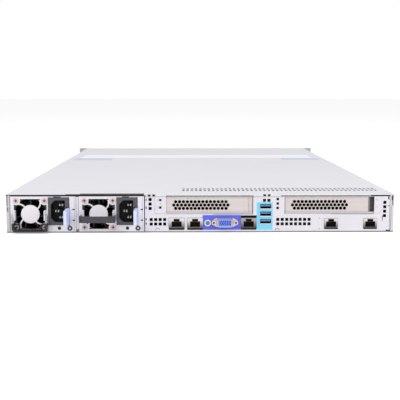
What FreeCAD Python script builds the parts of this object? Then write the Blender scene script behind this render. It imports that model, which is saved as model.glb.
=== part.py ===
import FreeCAD, Part
import math
import os
import re

import Sketcher

# A rack server one unit high, in millimetres.  X runs to the right as seen from behind, Y runs
# from the rear face to the front, Z is up.  The origin is the middle of the chassis floor's
# underside.

# Driving sizes: name, value.
SIZES = {
    # chassis and covers
    "chassis_width": 438.0,
    "chassis_height": 43.6,
    "chassis_depth": 790.0,
    "sheet_thickness": 1.0,
    "cover_clearance": 0.3,
    "skirt_height": 12.6,
    "skirt_gap": 0.8,
    "rear_cover_length": 497.0,
    "cover_joint_gap": 0.5,
    "lip_height": 2.3,
    "lip_left": -61.8,
    "lip_right": 192.4,
    "lip_notch_x": -57.8,
    "lip_notch_width": 2.6,
    "front_section_length": 50.0,
    "front_section_drop": 3.4,
    "access_panel_width": 400.0,
    "access_panel_length": 67.0,
    "grip_length": 38.0,
    "grip_width": 64.0,
    "grip_center": 176.0,
    "grip_setback": 3.0,
    # ventilation slots of the rear cover
    "cover_vent_left": -21.0,
    "cover_vent_count": 46.0,
    "cover_vent_pitch": 5.0,
    "cover_vent_width": 2.8,
    "cover_vent_length": 12.0,
    "cover_vent_row_pitch": 15.5,
    "cover_vent_setback": 31.0,
    # rack ears
    "ear_span": 482.6,
    "ear_thickness": 2.0,
    "ear_bottom": 2.4,
    "ear_height": 38.0,
    "ear_flange_length": 28.0,
    "rack_hole_span": 465.1,
    "rack_hole_height": 21.8,
    "rack_slot_length": 10.5,
    "rack_slot_width": 6.8,
    # rear wall
    "rear_wall_left": -62.7,
    "rear_wall_height": 41.0,
    "flange_width": 2.6,
    "flange_gap": 0.4,
    "vent_size": 3.5,
    "small_vent_size": 2.8,
    "vent_pitch": 5.07,
    "vent_column_1_x": -56.9,
    "vent_column_1_z": 27.5,
    "vent_grid_1_x": -55.8,
    "vent_grid_1_z": 9.7,
    "vent_pair_x": 72.2,
    "vent_pair_z": 36.5,
    "vent_column_2_x": 87.2,
    "vent_column_2_z": 27.8,
    "vent_grid_2_x": 87.5,
    "vent_grid_2_z": 9.6,
    "vent_column_3_x": 208.6,
    "vent_column_3_z": 18.8,
    # expansion slots
    "slot_1_left": -38.8,
    "slot_1_right": 59.0,
    "slot_2_left": 95.5,
    "slot_2_right": 196.3,
    "slot_bottom": 21.0,
    "slot_top": 40.6,
    "slot_end_gap": 4.6,
    "slot_cover_height": 21.6,
    "slot_cover_thickness": 0.9,
    "slot_cover_overlap": 1.0,
    "slot_cover_tab": 11.0,
    "honeycomb_pitch": 4.37,
    "honeycomb_row_pitch": 3.78,
    "honeycomb_hole": 3.6,
    "honeycomb_count": 15.0,
    "honeycomb_margin": 8.6,
    "honeycomb_height": 31.1,
    "flap_width": 12.0,
    "small_flap_width": 7.2,
    "flap_gap": 0.5,
    "flap_bottom": 22.0,
    "flap_thickness": 0.8,
    "flap_hole": 2.6,
    "flap_hole_low": 28.6,
    "flap_hole_high": 37.1,
    "riser_wall_offset": 4.2,
    "riser_wall_top": 39.0,
    "riser_wall_length": 150.0,
    "riser_card_setback": 25.0,
    "riser_card_thickness": 1.6,
    "riser_card_height": 30.0,
    "riser_card_length": 110.0,
    # ports of the rear wall
    "board_bottom": 3.7,
    "board_thickness": 1.6,
    "port_clearance": 0.2,
    "port_stand_out": 0.7,
    "lan_width": 17.7,
    "lan_height": 11.2,
    "lan_depth": 21.5,
    "lan_left": -35.9,
    "lan_pitch": 20.9,
    "lan_mouth_width": 11.4,
    "lan_mouth_height": 6.5,
    "port_opening_bottom": 3.4,
    "lan_notch_width": 6.7,
    "lan_notch_height": 2.8,
    "lan_mouth_depth": 13.0,
    "serial_left": 45.7,
    "serial_opening_top": 19.4,
    "small_lan_width": 15.3,
    "small_lan_height": 10.4,
    "small_lan_1_left": 140.4,
    "small_lan_2_left": 184.9,
    "vga_center": 27.4,
    "vga_height": 11.4,
    "vga_flange_width": 28.8,
    "vga_ear_height": 4.4,
    "vga_flange_middle": 20.0,
    "vga_flange_height": 9.8,
    "vga_flange_thickness": 0.8,
    "vga_shell_width": 17.1,
    "vga_shell_height": 8.6,
    "vga_shell_depth": 5.8,
    "vga_shell_wall": 0.5,
    "vga_screw_span": 25.0,
    "vga_screw_flats": 4.6,
    "vga_thread_radius": 1.3,
    "vga_screw_length": 5.0,
    "usb_center": 73.6,
    "usb_width": 13.2,
    "usb_height": 5.8,
    "usb_depth": 14.0,
    "usb_wall": 0.4,
    "usb_tongue_width": 11.0,
    "usb_tongue_thickness": 1.8,
    "usb_bottom": 12.0,
    "usb_middle": 20.7,
    "usb_top": 29.1,
    "button_center": 8.1,
    "button_height": 10.7,
    "button_radius": 2.15,
    "button_length": 4.4,
    "button_stand_out": 0.7,
    # power supplies
    "psu_side_margin": 5.0,
    "psu_width": 73.5,
    "psu_pitch": 76.8,
    "psu_height": 40.0,
    "psu_length": 185.0,
    "psu_lift": 0.4,
    "psu_wall": 0.8,
    "psu_bay_length": 110.0,
    "psu_inset": 0.3,
    "guard_thickness": 0.8,
    "fan_center": 22.3,
    "guard_window_side": 18.4,
    "guard_window_top": 17.1,
    "fan_screw_side": 16.0,
    "fan_screw_top": 15.1,
    "guard_pad": 4.8,
    "lamp_hole": 2.0,
    "knob_hole": 1.6,
    "lamp_place": 54.6,
    "knob_place": 66.5,
    "lamp_height": 5.2,
    "guard_hub": 10.4,
    "spoke_width": 1.5,
    "spoke_bend": 8.6,
    "spoke_offset": 12.9,
    "spoke_lift": 2.8,
    "spoke_count": 4.0,
    "spoke_start": 33.0,
    "spoke_stop": 112.0,
    "psu_fan_size": 37.6,
    "psu_fan_depth": 28.0,
    "psu_fan_bore": 17.9,
    "psu_blade_tip": 17.2,
    "psu_fan_hub": 9.6,
    "shaft_radius": 1.5,
    "shaft_clearance": 0.05,
    "blade_count": 7.0,
    "blade_thickness": 1.0,
    "blade_lean": 3.0,
    "inlet_left": 42.5,
    "inlet_width": 23.7,
    "inlet_bottom": 8.9,
    "inlet_height": 31.4,
    "inlet_depth": 22.0,
    "inlet_stand_out": 0.6,
    "inlet_mouth_width": 16.0,
    "inlet_mouth_height": 25.0,
    "inlet_mouth_depth": 17.0,
    "inlet_mouth_left": 2.9,
    "inlet_mouth_lift": 3.2,
    "inlet_chamfer": 4.6,
    "pin_thickness": 2.0,
    "pin_width": 4.0,
    "pin_length": 15.5,
    "pin_pitch": 7.0,
    "earth_pin_place": 5.0,
    "live_pin_place": 9.6,
    "latch_left": 63.2,
    "latch_thickness": 3.2,
    "latch_bottom": 8.5,
    "latch_height": 19.8,
    "latch_reach": 25.0,
    "latch_rise": 3.4,
    "latch_pivot_depth": 7.0,
    "latch_clearance": 1.1,
    "latch_pin_radius": 1.2,
    "latch_barrel_radius": 2.2,
    "pivot_clearance": 0.05,
    "bail_width": 39.6,
    "bail_arm": 2.0,
    "bail_strip": 7.1,
    "bail_bend": 3.0,
    "bail_length": 16.5,
    "bail_pivot_height": 18.0,
    "bail_pivot_reach": 4.4,
    "bail_pin_radius": 1.1,
    "bail_lug_thickness": 1.2,
    "bail_lug_rise": 8.0,
    "bail_lug_drop": 3.0,
    "card_edge_inset": 12.0,
    "card_edge_length": 9.0,
    "card_edge_bottom": 9.0,
    "card_edge_thickness": 1.6,
    # main board and what it carries
    "board_length": 330.0,
    "board_setback": 1.0,
    "board_side_gap": 3.0,
    "board_wing_setback": 25.0,
    "standoff_side": 6.0,
    "standoff_setback": 30.0,
    "standoff_pitch_x": 118.0,
    "standoff_pitch_y": 120.0,
    "standoff_start": 20.0,
    "heatsink_size": 90.0,
    "heatsink_height": 25.0,
    "heatsink_base": 4.0,
    "fin_count": 14.0,
    "fin_thickness": 1.0,
    "heatsink_pitch": 150.0,
    "heatsink_center": -5.0,
    "heatsink_setback": 80.0,
    "memory_length": 133.4,
    "memory_height": 31.0,
    "memory_thickness": 4.0,
    "memory_pitch": 8.0,
    "memory_gap": 4.0,
    # fan row
    "fan_size": 40.0,
    "fan_depth": 28.0,
    "fan_pitch": 84.0,
    "fan_bore": 19.0,
    "fan_blade_tip": 18.4,
    "fan_hub": 10.5,
    "fan_setback": 425.0,
    "fan_boss_size": 7.0,
    "fan_boss_length": 3.0,
    "fan_strut_width": 2.0,
    "shaft_length": 4.0,
    "blade_setback": 1.5,
    # drives
    "bay_width": 104.0,
    "bay_wall": 0.9,
    "bay_height": 27.8,
    "bay_depth": 168.0,
    "backplane_thickness": 2.0,
    "backplane_height": 36.0,
    "backplane_side_gap": 4.0,
    "backplane_vent_inset": 10.0,
    "backplane_vent_bottom": 14.0,
    "backplane_vent_top": 24.0,
    "carrier_clearance": 0.4,
    "carrier_wall": 0.8,
    "carrier_face_thickness": 5.0,
    "carrier_rail_top": 16.0,
    "drive_width": 101.6,
    "drive_height": 25.4,
    "drive_length": 147.0,
    "lever_thickness": 3.0,
    "lever_height": 18.0,
    "lever_margin": 8.0,
    "lever_radius": 2.6,
    "lever_pin_radius": 1.2,
    "lever_pin_inset": 6.0,
    "recess_edge": 2.0,
    "power_button_radius": 3.6,
    "power_button_center": 196.0,
    "power_button_length": 6.0,
    "power_button_stand_out": 0.2,
}

doc = FreeCAD.newDocument("RackServer")
sheet = doc.addObject("Spreadsheet::Sheet", "Sizes")
for row, (name, value) in enumerate(SIZES.items(), start=1):
    sheet.set(f"A{row}", name)
    sheet.set(f"B{row}", str(value))
    sheet.setAlias(f"B{row}", name)
doc.recompute()

NODES = []


# ---- formulas ------------------------------------------------------------------------------

def formula(text):
    """Turn the sheet's names in a text into references to its cells."""
    return re.sub(r"[a-z_]\w*", lambda word: "Sizes." + word.group(), text)


def number(text):
    """The present value of a formula."""
    return float(sheet.evalExpression(text))


REAR = "(-chassis_depth / 2)"
FRONT = "(chassis_depth / 2)"
HALF = "(chassis_width / 2)"
PAN = f"({HALF} - sheet_thickness - skirt_gap)"
PAN_INSIDE = f"({PAN} - sheet_thickness)"
ROOF = "(chassis_height - sheet_thickness)"
FLOOR = "sheet_thickness"
STEP = f"({FRONT} - front_section_length)"
LOW_ROOF = "(chassis_height - front_section_drop)"
LEDGE = "(chassis_height - skirt_height - cover_clearance)"
WALL_OUT = f"({REAR} + sheet_thickness + cover_clearance)"
WALL_IN = f"({WALL_OUT} + sheet_thickness)"
PAN_TOP = f"({ROOF} - cover_clearance)"
COVER_END = f"({REAR} + rear_cover_length)"
BOARD_TOP = "(board_bottom + board_thickness)"
FAN_PLACE = f"({REAR} + fan_setback)"
COOLER_MIDDLE = f"({WALL_IN} + board_length - heatsink_setback)"


# ---- primitives ----------------------------------------------------------------------------

def block(name, x, y, z):
    """A box between a low and a high place on each axis, all given as formulas."""
    box = doc.addObject("Part::Box", name)
    for (low, high), side, axis in zip((x, y, z), ("Length", "Width", "Height"), "xyz"):
        box.setExpression(side, formula(f"({high}) - ({low})"))
        box.setExpression("Placement.Base." + axis, formula(f"{low}"))
    return box


def rod(name, axis, centre, span, radius):
    """A cylinder along an axis, with its centre on the other two and its low and high end."""
    turns = {"x": ((0, 1, 0), 90), "y": ((1, 0, 0), -90), "z": ((0, 0, 1), 0)}
    direction, angle = turns[axis]
    cylinder = doc.addObject("Part::Cylinder", name)
    turn = FreeCAD.Rotation(FreeCAD.Vector(*direction), angle)
    cylinder.Placement = FreeCAD.Placement(FreeCAD.Vector(), turn)
    cylinder.setExpression("Radius", formula(radius))
    cylinder.setExpression("Height", formula(f"({span[1]}) - ({span[0]})"))
    places = dict(zip([other for other in "xyz" if other != axis], centre))
    places[axis] = span[0]
    for other, place in places.items():
        cylinder.setExpression("Placement.Base." + other, formula(f"{place}"))
    return cylinder


def gather(name, pieces):
    """Several objects held as one, each a solid of its own."""
    compound = doc.addObject("Part::Compound", name)
    compound.Links = pieces
    return compound


def cut(name, base, tools):
    """A base with one or more tools taken away."""
    result = doc.addObject("Part::Cut", name)
    result.Base = base
    result.Tool = tools[0] if len(tools) == 1 else gather(name + "_tools", tools)
    return result


def fuse(name, pieces):
    """Pieces joined into one solid."""
    result = doc.addObject("Part::MultiFuse", name)
    result.Shapes = pieces
    result.Refine = True
    return result


def node(label, piece):
    """Name a finished sub-part."""
    piece.Label = label
    NODES.append(piece)
    return piece


# ---- sketches ------------------------------------------------------------------------------

def new_body(name):
    body = doc.addObject("PartDesign::Body", name)
    body.AllowCompound = True
    return body


def new_sketch(body, name, role, x="0", y="0", depth="0"):
    """A sketch on one of the body's own planes, moved in the plane and along its normal."""
    sketch = body.newObject("Sketcher::SketchObject", name)
    plane = [item for item in body.Origin.OriginFeatures if item.Role == role][0]
    sketch.AttachmentSupport = [(plane, "")]
    sketch.MapMode = "FlatFace"
    for axis, place in zip("xyz", (x, y, depth)):
        if place != "0":
            sketch.setExpression("AttachmentOffset.Base." + axis, formula(f"{place}"))
    return sketch


def bind(sketch, kind, items, text):
    """A driving dimension of a sketch, tied to a formula."""
    index = sketch.addConstraint(Sketcher.Constraint(kind, *items, number(text)))
    sketch.setExpression(f"Constraints[{index}]", formula(text))


def polygon(sketch, points):
    """A closed outline; each corner's two places are formulas."""
    places = [FreeCAD.Vector(number(x), number(y), 0) for x, y in points]
    lines = []
    for first, second in zip(places, places[1:] + places[:1]):
        lines.append(sketch.addGeometry(Part.LineSegment(first, second)))
    for index, line in enumerate(lines):
        following = lines[(index + 1) % len(lines)]
        sketch.addConstraint(Sketcher.Constraint("Coincident", line, 2, following, 1))
    for line, (x, y) in zip(lines, points):
        bind(sketch, "DistanceX", (-1, 1, line, 1), x)
        bind(sketch, "DistanceY", (-1, 1, line, 1), y)


def rectangle(sketch, x, y):
    """An upright rectangle between a low and a high place on each axis."""
    polygon(sketch, [(x[0], y[0]), (x[1], y[0]), (x[1], y[1]), (x[0], y[1])])


def circle(sketch, x, y, radius):
    centre = FreeCAD.Vector(number(x), number(y), 0)
    line = sketch.addGeometry(Part.Circle(centre, FreeCAD.Vector(0, 0, 1), number(radius)))
    bind(sketch, "DistanceX", (-1, 1, line, 3), x)
    bind(sketch, "DistanceY", (-1, 1, line, 3), y)
    bind(sketch, "Radius", (line,), radius)


def regular_hexagon(sketch, flats):
    """A hexagon about the sketch's origin, standing on a corner, by its width across flats."""
    radius = number(flats) / math.sqrt(3)
    centre = FreeCAD.Vector()
    guide = sketch.addGeometry(Part.Circle(centre, FreeCAD.Vector(0, 0, 1), radius), True)
    sketch.addConstraint(Sketcher.Constraint("Coincident", guide, 3, -1, 1))
    corners = []
    for step in range(6):
        angle = math.radians(60 * step + 30)
        corners.append(FreeCAD.Vector(radius * math.cos(angle), radius * math.sin(angle), 0))
    lines = []
    for first, second in zip(corners, corners[1:] + corners[:1]):
        lines.append(sketch.addGeometry(Part.LineSegment(first, second)))
    for index, line in enumerate(lines):
        following = lines[(index + 1) % 6]
        sketch.addConstraint(Sketcher.Constraint("Coincident", line, 2, following, 1))
        sketch.addConstraint(Sketcher.Constraint("PointOnObject", line, 1, guide))
        if index:
            sketch.addConstraint(Sketcher.Constraint("Equal", lines[0], line))
    sketch.addConstraint(Sketcher.Constraint("Vertical", lines[5]))
    bind(sketch, "Distance", (lines[5],), f"{flats} / 1.7320508")


def pad(body, name, sketch, length, backwards=False, middle=False):
    feature = body.newObject("PartDesign::Pad", name)
    feature.Profile = sketch
    feature.Reversed = backwards
    feature.Midplane = middle
    feature.setExpression("Length", formula(length))
    body.Tip = feature
    return feature


def pocket(body, name, sketch, length, backwards=False):
    """A cut both ways from the sketch's plane, as deep as the given length in all."""
    feature = body.newObject("PartDesign::Pocket", name)
    feature.Profile = sketch
    feature.Midplane = True
    feature.Reversed = backwards
    feature.setExpression("Length", formula(length))
    body.Tip = feature
    return feature


def pattern(body, name, feature, sketch, count, pitch, rows="1", row_pitch="0"):
    """Repeat a feature along the sketch's first axis, and in rows along its second."""
    result = body.newObject("PartDesign::LinearPattern", name)
    result.Originals = [feature]
    result.Direction = (sketch, ["H_Axis"])
    result.setExpression("Length", formula(f"({count} - 1) * {pitch}"))
    result.setExpression("Occurrences", formula(count))
    if rows != "1":
        result.Direction2 = (sketch, ["V_Axis"])
        result.setExpression("Length2", formula(f"({rows} - 1) * {row_pitch}"))
        result.setExpression("Occurrences2", formula(rows))
    body.Tip = result
    return result


# ---- chassis -------------------------------------------------------------------------------

def make_chassis_pan():
    """The steel tray: a floor and side walls, set in above a ledge for the cover, and rear flanges."""
    front = f"{FRONT} - ear_thickness"
    pieces = [block("pan_floor", (f"-{HALF}", HALF), (WALL_OUT, STEP), ("0", FLOOR)),
              block("pan_front_floor", (f"-{PAN}", PAN), (STEP, front), ("0", FLOOR))]
    flange = f"({PAN} - flange_width)"
    low_wall = f"({HALF} - sheet_thickness)"
    for side in (-1, 1):
        along = (WALL_OUT, STEP)
        pieces.append(block("pan_wall", mirrored(side, low_wall, HALF), along, ("0", LEDGE)))
        pieces.append(block("pan_ledge", mirrored(side, PAN_INSIDE, HALF), along,
                            (f"{LEDGE} - sheet_thickness", LEDGE)))
        pieces.append(block("pan_high_wall", mirrored(side, PAN_INSIDE, PAN), along,
                            (f"{LEDGE} - sheet_thickness", PAN_TOP)))
        pieces.append(block("pan_end", mirrored(side, PAN_INSIDE, HALF), (f"{STEP} - sheet_thickness", STEP),
                            ("0", LEDGE)))
        pieces.append(block("pan_front_wall", mirrored(side, PAN_INSIDE, PAN), (STEP, front),
                            ("0", f"{LOW_ROOF} - sheet_thickness")))
        pieces.append(block("pan_flange", mirrored(side, flange, HALF), (WALL_OUT, WALL_IN), ("0", LEDGE)))
        pieces.append(block("pan_high_flange", mirrored(side, flange, PAN), (WALL_OUT, WALL_IN), ("0", PAN_TOP)))
    pieces.extend(standoffs())
    return node("chassis_pan", fuse("pan", pieces))


def mirrored(side, near, far):
    """A span across the chassis, on the left for a negative side and on the right for a positive."""
    return (f"-{far}", f"-{near}") if side < 0 else (near, far)


def standoffs():
    """The square posts that the main board lies on."""
    posts = []
    for column in range(3):
        for row in range(2):
            x = f"rear_wall_left + standoff_start + {column} * standoff_pitch_x"
            y = f"{WALL_IN} + standoff_setback + {row} * standoff_pitch_y"
            posts.append(block("standoff", (x, f"{x} + standoff_side"), (y, f"{y} + standoff_side"),
                               ("0", "board_bottom")))
    return posts


def make_rear_wall():
    """The ported rear wall between the power supplies and the right side."""
    body = new_body("rear_wall")
    face = f"-{WALL_OUT}"
    outline = new_sketch(body, "wall_outline", "XZ_Plane", depth=face)
    right = f"{PAN} - flange_width - flange_gap"
    rectangle(outline, ("rear_wall_left", right), (FLOOR, "rear_wall_height"))
    pad(body, "wall", outline, "sheet_thickness", backwards=True)
    ports = new_sketch(body, "port_openings", "XZ_Plane", depth=face)
    for left, right in (("slot_1_left", "slot_1_right"), ("slot_2_left", "slot_2_right")):
        rectangle(ports, (left, right), ("slot_bottom", "slot_top"))
    for left, width, height, top in jack_places():
        x = (f"{left} - port_clearance", f"{left} + {width} + port_clearance")
        rectangle(ports, x, ("port_opening_bottom", top))
    reach = "vga_shell_width / 2 + vga_shell_wall + port_clearance"
    rise = "vga_shell_height / 2 + vga_shell_wall + port_clearance"
    rectangle(ports, (f"vga_center - ({reach})", f"vga_center + ({reach})"),
              (f"vga_height - ({rise})", f"vga_height + ({rise})"))
    reach, rise = "usb_width / 2 + port_clearance", "usb_height / 2 + port_clearance"
    for height in usb_heights():
        rectangle(ports, (f"usb_center - ({reach})", f"usb_center + ({reach})"),
                  (f"{height} - ({rise})", f"{height} + ({rise})"))
    circle(ports, "button_center", "button_height", "button_radius + cover_clearance")
    pocket(body, "ports", ports, "4 * sheet_thickness")
    vents = (("gap_column", "vent_column_1_x", "vent_column_1_z", "1", "3", "vent_size"),
             ("left_grid", "vent_grid_1_x", "vent_grid_1_z", "4", "2", "vent_size"),
             ("usb_pair", "vent_pair_x", "vent_pair_z", "2", "1", "vent_size"),
             ("middle_column", "vent_column_2_x", "vent_column_2_z", "1", "3", "small_vent_size"),
             ("right_grid", "vent_grid_2_x", "vent_grid_2_z", "8", "2", "vent_size"),
             ("edge_column", "vent_column_3_x", "vent_column_3_z", "1", "4", "vent_size"))
    for name, x, y, columns, rows, size in vents:
        sketch = new_sketch(body, name, "XZ_Plane", x, y, face)
        rectangle(sketch, (f"-{size} / 2", f"{size} / 2"), (f"-{size} / 2", f"{size} / 2"))
        hole = pocket(body, name + "_hole", sketch, "4 * sheet_thickness")
        if columns == "1":
            repeat = body.newObject("PartDesign::LinearPattern", name + "_rows")
            repeat.Originals = [hole]
            repeat.Direction = (sketch, ["V_Axis"])
            repeat.setExpression("Length", formula(f"({rows} - 1) * vent_pitch"))
            repeat.Occurrences = int(rows)
            body.Tip = repeat
        else:
            pattern(body, name + "_rows", hole, sketch, columns, "vent_pitch", rows, "vent_pitch")
    return node("rear_panel", body)


def cover_profile(body, name, start, length):
    """A plate with a skirt down each side, drawn across the chassis and run along it."""
    sketch = new_sketch(body, name, "XZ_Plane", depth=f"-({start})")
    skirt = "chassis_height - skirt_height"
    inner = f"{HALF} - sheet_thickness"
    polygon(sketch, [(f"-{HALF}", skirt), (f"-({inner})", skirt), (f"-({inner})", ROOF), (inner, ROOF),
                     (inner, skirt), (HALF, skirt), (HALF, "chassis_height"), (f"-{HALF}", "chassis_height")])
    pad(body, name + "_pad", sketch, length, backwards=True)


def make_rear_cover():
    """The sliding cover over the boards: its roof, and the skirts and rear lip folded down from it."""
    body = new_body("cover_roof")
    roof = new_sketch(body, "roof_outline", "XY_Plane", depth=ROOF)
    rectangle(roof, (f"-{HALF}", HALF), (REAR, COVER_END))
    pad(body, "roof", roof, "sheet_thickness")
    x = "cover_vent_left + cover_vent_width / 2"
    slot = new_sketch(body, "air_slot", "XY_Plane", x, f"{REAR} + cover_vent_setback", ROOF)
    rectangle(slot, ("-cover_vent_width / 2", "cover_vent_width / 2"), ("0", "cover_vent_length"))
    hole = pocket(body, "air_slot_hole", slot, "4 * sheet_thickness")
    pattern(body, "air_slots", hole, slot, "cover_vent_count", "cover_vent_pitch", "2", "cover_vent_row_pitch")
    grips = new_sketch(body, "grip_openings", "XY_Plane", depth=ROOF)
    for x, y in grip_places():
        rectangle(grips, x, y)
    pocket(body, "grip_holes", grips, "4 * sheet_thickness")
    skirts = [block("cover_skirt", mirrored(side, f"({HALF} - sheet_thickness)", HALF), (REAR, COVER_END),
                    ("chassis_height - skirt_height", ROOF)) for side in (-1, 1)]
    return node("rear_cover", gather("sliding_cover", [body, cover_lip()] + skirts))


def cover_lip():
    """The narrow lip along the cover's rear edge, notched over two pairs of air holes."""
    depth = (REAR, f"{REAR} + sheet_thickness")
    lip = block("lip", ("lip_left", "lip_right"), depth, ("chassis_height - lip_height", ROOF))
    notches = []
    for first in ("lip_notch_x", "vent_pair_x"):
        for middle in (first, f"{first} + vent_pitch"):
            notches.append(block("lip_notch", (f"{middle} - lip_notch_width / 2", f"{middle} + lip_notch_width / 2"),
                                 (f"{REAR} - 1", f"{REAR} + 2 * sheet_thickness"),
                                 ("chassis_height - lip_height - 1", f"{ROOF} - cover_clearance")))
    return cut("notched_lip", lip, notches)


def grip_places():
    """Where the two grips lie on the cover: a span across and a span along each."""
    along = (f"{COVER_END} - grip_setback - grip_length", f"{COVER_END} - grip_setback")
    for sign in ("-", ""):
        centre = f"{sign}grip_center"
        yield (f"{centre} - grip_width / 2", f"{centre} + grip_width / 2"), along


def make_cover_grips():
    pads = [block("grip", x, y, (ROOF, "chassis_height")) for x, y in grip_places()]
    return node("cover_grips", gather("grips", pads))


def make_front_cover():
    """The fixed cover over the fans and the drives, open where the access panel lies."""
    body = new_body("fixed_cover")
    start = f"{COVER_END} + cover_joint_gap"
    cover_profile(body, "fixed_section", start, f"{STEP} - ({start})")
    opening = new_sketch(body, "panel_opening", "XY_Plane", depth=ROOF)
    rectangle(opening, ("-access_panel_width / 2", "access_panel_width / 2"),
              (f"{start} - 1", f"{start} + access_panel_length"))
    pocket(body, "panel_cut", opening, "4 * sheet_thickness")
    return node("front_cover", body)


def make_access_panel():
    start = f"{COVER_END} + cover_joint_gap"
    panel = block("panel", ("-access_panel_width / 2", "access_panel_width / 2"),
                  (start, f"{start} + access_panel_length"), (ROOF, "chassis_height"))
    return node("access_panel", panel)


def make_rack_ear(side, sign):
    """An L-shaped ear: a slotted front plate and a flange against the chassis side."""
    inner, outer = PAN, "ear_span / 2"
    if sign < 0:
        across, hug = (f"-{outer}", f"-{PAN_INSIDE}"), (f"-{HALF}", f"-{PAN}")
    else:
        across, hug = (PAN_INSIDE, outer), (inner, HALF)
    top = "ear_bottom + ear_height"
    plate = block("ear_plate", across, (f"{FRONT} - ear_thickness", FRONT), ("ear_bottom", top))
    flange_top = "chassis_height - skirt_height - cover_clearance"
    flange = block("ear_flange", hug, (f"{FRONT} - ear_flange_length", FRONT), ("ear_bottom", flange_top))
    ear = fuse("ear_blank", [plate, flange])
    centre = f"{sign} * rack_hole_span / 2"
    straight = "(rack_slot_length - rack_slot_width) / 2"
    depth = (f"{FRONT} - 2 * ear_thickness", f"{FRONT} + 1")
    half = "rack_slot_width / 2"
    slot = fuse("ear_slot", [
        block("slot_middle", (f"{centre} - {straight}", f"{centre} + {straight}"), depth,
              (f"rack_hole_height - {half}", f"rack_hole_height + {half}")),
        rod("slot_end", "y", (f"{centre} - {straight}", "rack_hole_height"), depth, half),
        rod("slot_end", "y", (f"{centre} + {straight}", "rack_hole_height"), depth, half)])
    return node(f"rack_ear_{side}", cut("ear", ear, [slot]))


def make_front_frame():
    """The lower front section: its roof, the step up to the cover and the strip over the drives."""
    low = f"{LOW_ROOF} - sheet_thickness"
    rear_edge = (STEP, f"{STEP} + sheet_thickness")
    roof = block("front_roof", (f"-{PAN}", PAN), (STEP, f"{FRONT} - ear_thickness"), (low, LOW_ROOF))
    step = block("front_step", (f"-{PAN}", PAN), rear_edge, (low, "chassis_height"))
    shelf = f"{FLOOR} + bay_height + bay_wall"
    strip = block("front_strip", (f"-{PAN_INSIDE}", PAN_INSIDE),
                  (f"{FRONT} - 2 * ear_thickness", f"{FRONT} - ear_thickness"), (shelf, LOW_ROOF))
    hole = rod("power_hole", "y", ("power_button_center", power_button_height()),
               (f"{FRONT} - 3 * ear_thickness", FRONT), "power_button_radius + cover_clearance")
    return node("front_frame", cut("frame", fuse("frame_blank", [roof, step, strip]), [hole]))


def power_button_height():
    return f"({FLOOR} + bay_height + bay_wall + {LOW_ROOF} - sheet_thickness) / 2"


# ---- drives --------------------------------------------------------------------------------

def bay_left(index):
    return f"((bay_width + bay_wall) * {index - 2} + bay_wall / 2)"


def make_drive_cage():
    """The bay dividers and the shelf over the drives."""
    depth = (f"{FRONT} - bay_depth", f"{FRONT} - 3 * ear_thickness")
    top = f"{FLOOR} + bay_height"
    walls = []
    for index in range(5):
        left = f"{bay_left(index)} - bay_wall"
        walls.append(block("bay_divider", (left, f"{left} + bay_wall"), depth, (FLOOR, f"{top} + bay_wall")))
    half = "(2 * bay_width + 2.5 * bay_wall)"
    shelf = block("bay_shelf", (f"-{half}", half), depth, (top, f"{top} + bay_wall"))
    return node("drive_cage", fuse("cage", walls + [shelf]))


def make_backplane():
    front = f"{FRONT} - bay_depth"
    plate = block("backplane", (f"-{PAN_INSIDE} + backplane_side_gap", f"{PAN_INSIDE} - backplane_side_gap"),
                  (f"{front} - backplane_thickness", front), (FLOOR, "backplane_height"))
    openings = []
    for index in range(4):
        left = bay_left(index)
        openings.append(block("backplane_vent",
                              (f"{left} + backplane_vent_inset", f"{left} + bay_width - backplane_vent_inset"),
                              (f"{front} - 2 * backplane_thickness", f"{front} + 1"),
                              ("backplane_vent_bottom", "backplane_vent_top")))
    return node("drive_backplane", cut("backplane_cut", plate, openings))


def make_carrier(index):
    """A drive tray with a deep face; the lever lies in the face's recess on a steel pin."""
    left = f"({bay_left(index)} + carrier_clearance)"
    right = f"({bay_left(index)} + bay_width - carrier_clearance)"
    bottom, top = f"({FLOOR} + carrier_clearance)", f"({FLOOR} + bay_height - carrier_clearance)"
    face_front = f"{FRONT} - ear_thickness"
    face_back = f"{face_front} - carrier_face_thickness"
    tail = f"{face_back} - drive_length"
    sill = f"{bottom} + carrier_wall"
    pieces = [block("tray_floor", (left, right), (tail, face_back), (bottom, sill)),
              block("tray_rail", (left, f"{left} + carrier_wall"), (tail, face_back), (bottom, "carrier_rail_top")),
              block("tray_rail", (f"{right} - carrier_wall", right), (tail, face_back), (bottom, "carrier_rail_top")),
              block("tray_face", (left, right), (face_back, face_front), (bottom, top))]
    blank = fuse("tray_blank", pieces)
    middle = f"({bottom} + {top}) / 2"
    half = "(lever_height / 2 + carrier_clearance)"
    recess_z = (f"{middle} - {half}", f"{middle} + {half}")
    recess = block("face_recess", (f"{left} + lever_margin", f"{right} - recess_edge"),
                   (f"{face_front} - lever_thickness - carrier_clearance", f"{face_front} + 1"), recess_z)
    hollow = rod("lever_hollow", "z", lever_pivot(index), recess_z, "lever_radius + carrier_clearance")
    body = cut("tray_cut", blank, [fuse("face_hollow", [recess, hollow])])
    pin = rod("lever_pin", "z", lever_pivot(index), (f"{recess_z[0]} - 1", f"{recess_z[1]} + 1"),
              "lever_pin_radius")
    return node(f"drive_carrier_{index + 1}", fuse("tray", [body, pin]))


def lever_pivot(index):
    right = f"({bay_left(index)} + bay_width - carrier_clearance)"
    return f"{right} - lever_pin_inset", f"{FRONT} - ear_thickness - lever_thickness / 2"


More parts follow.
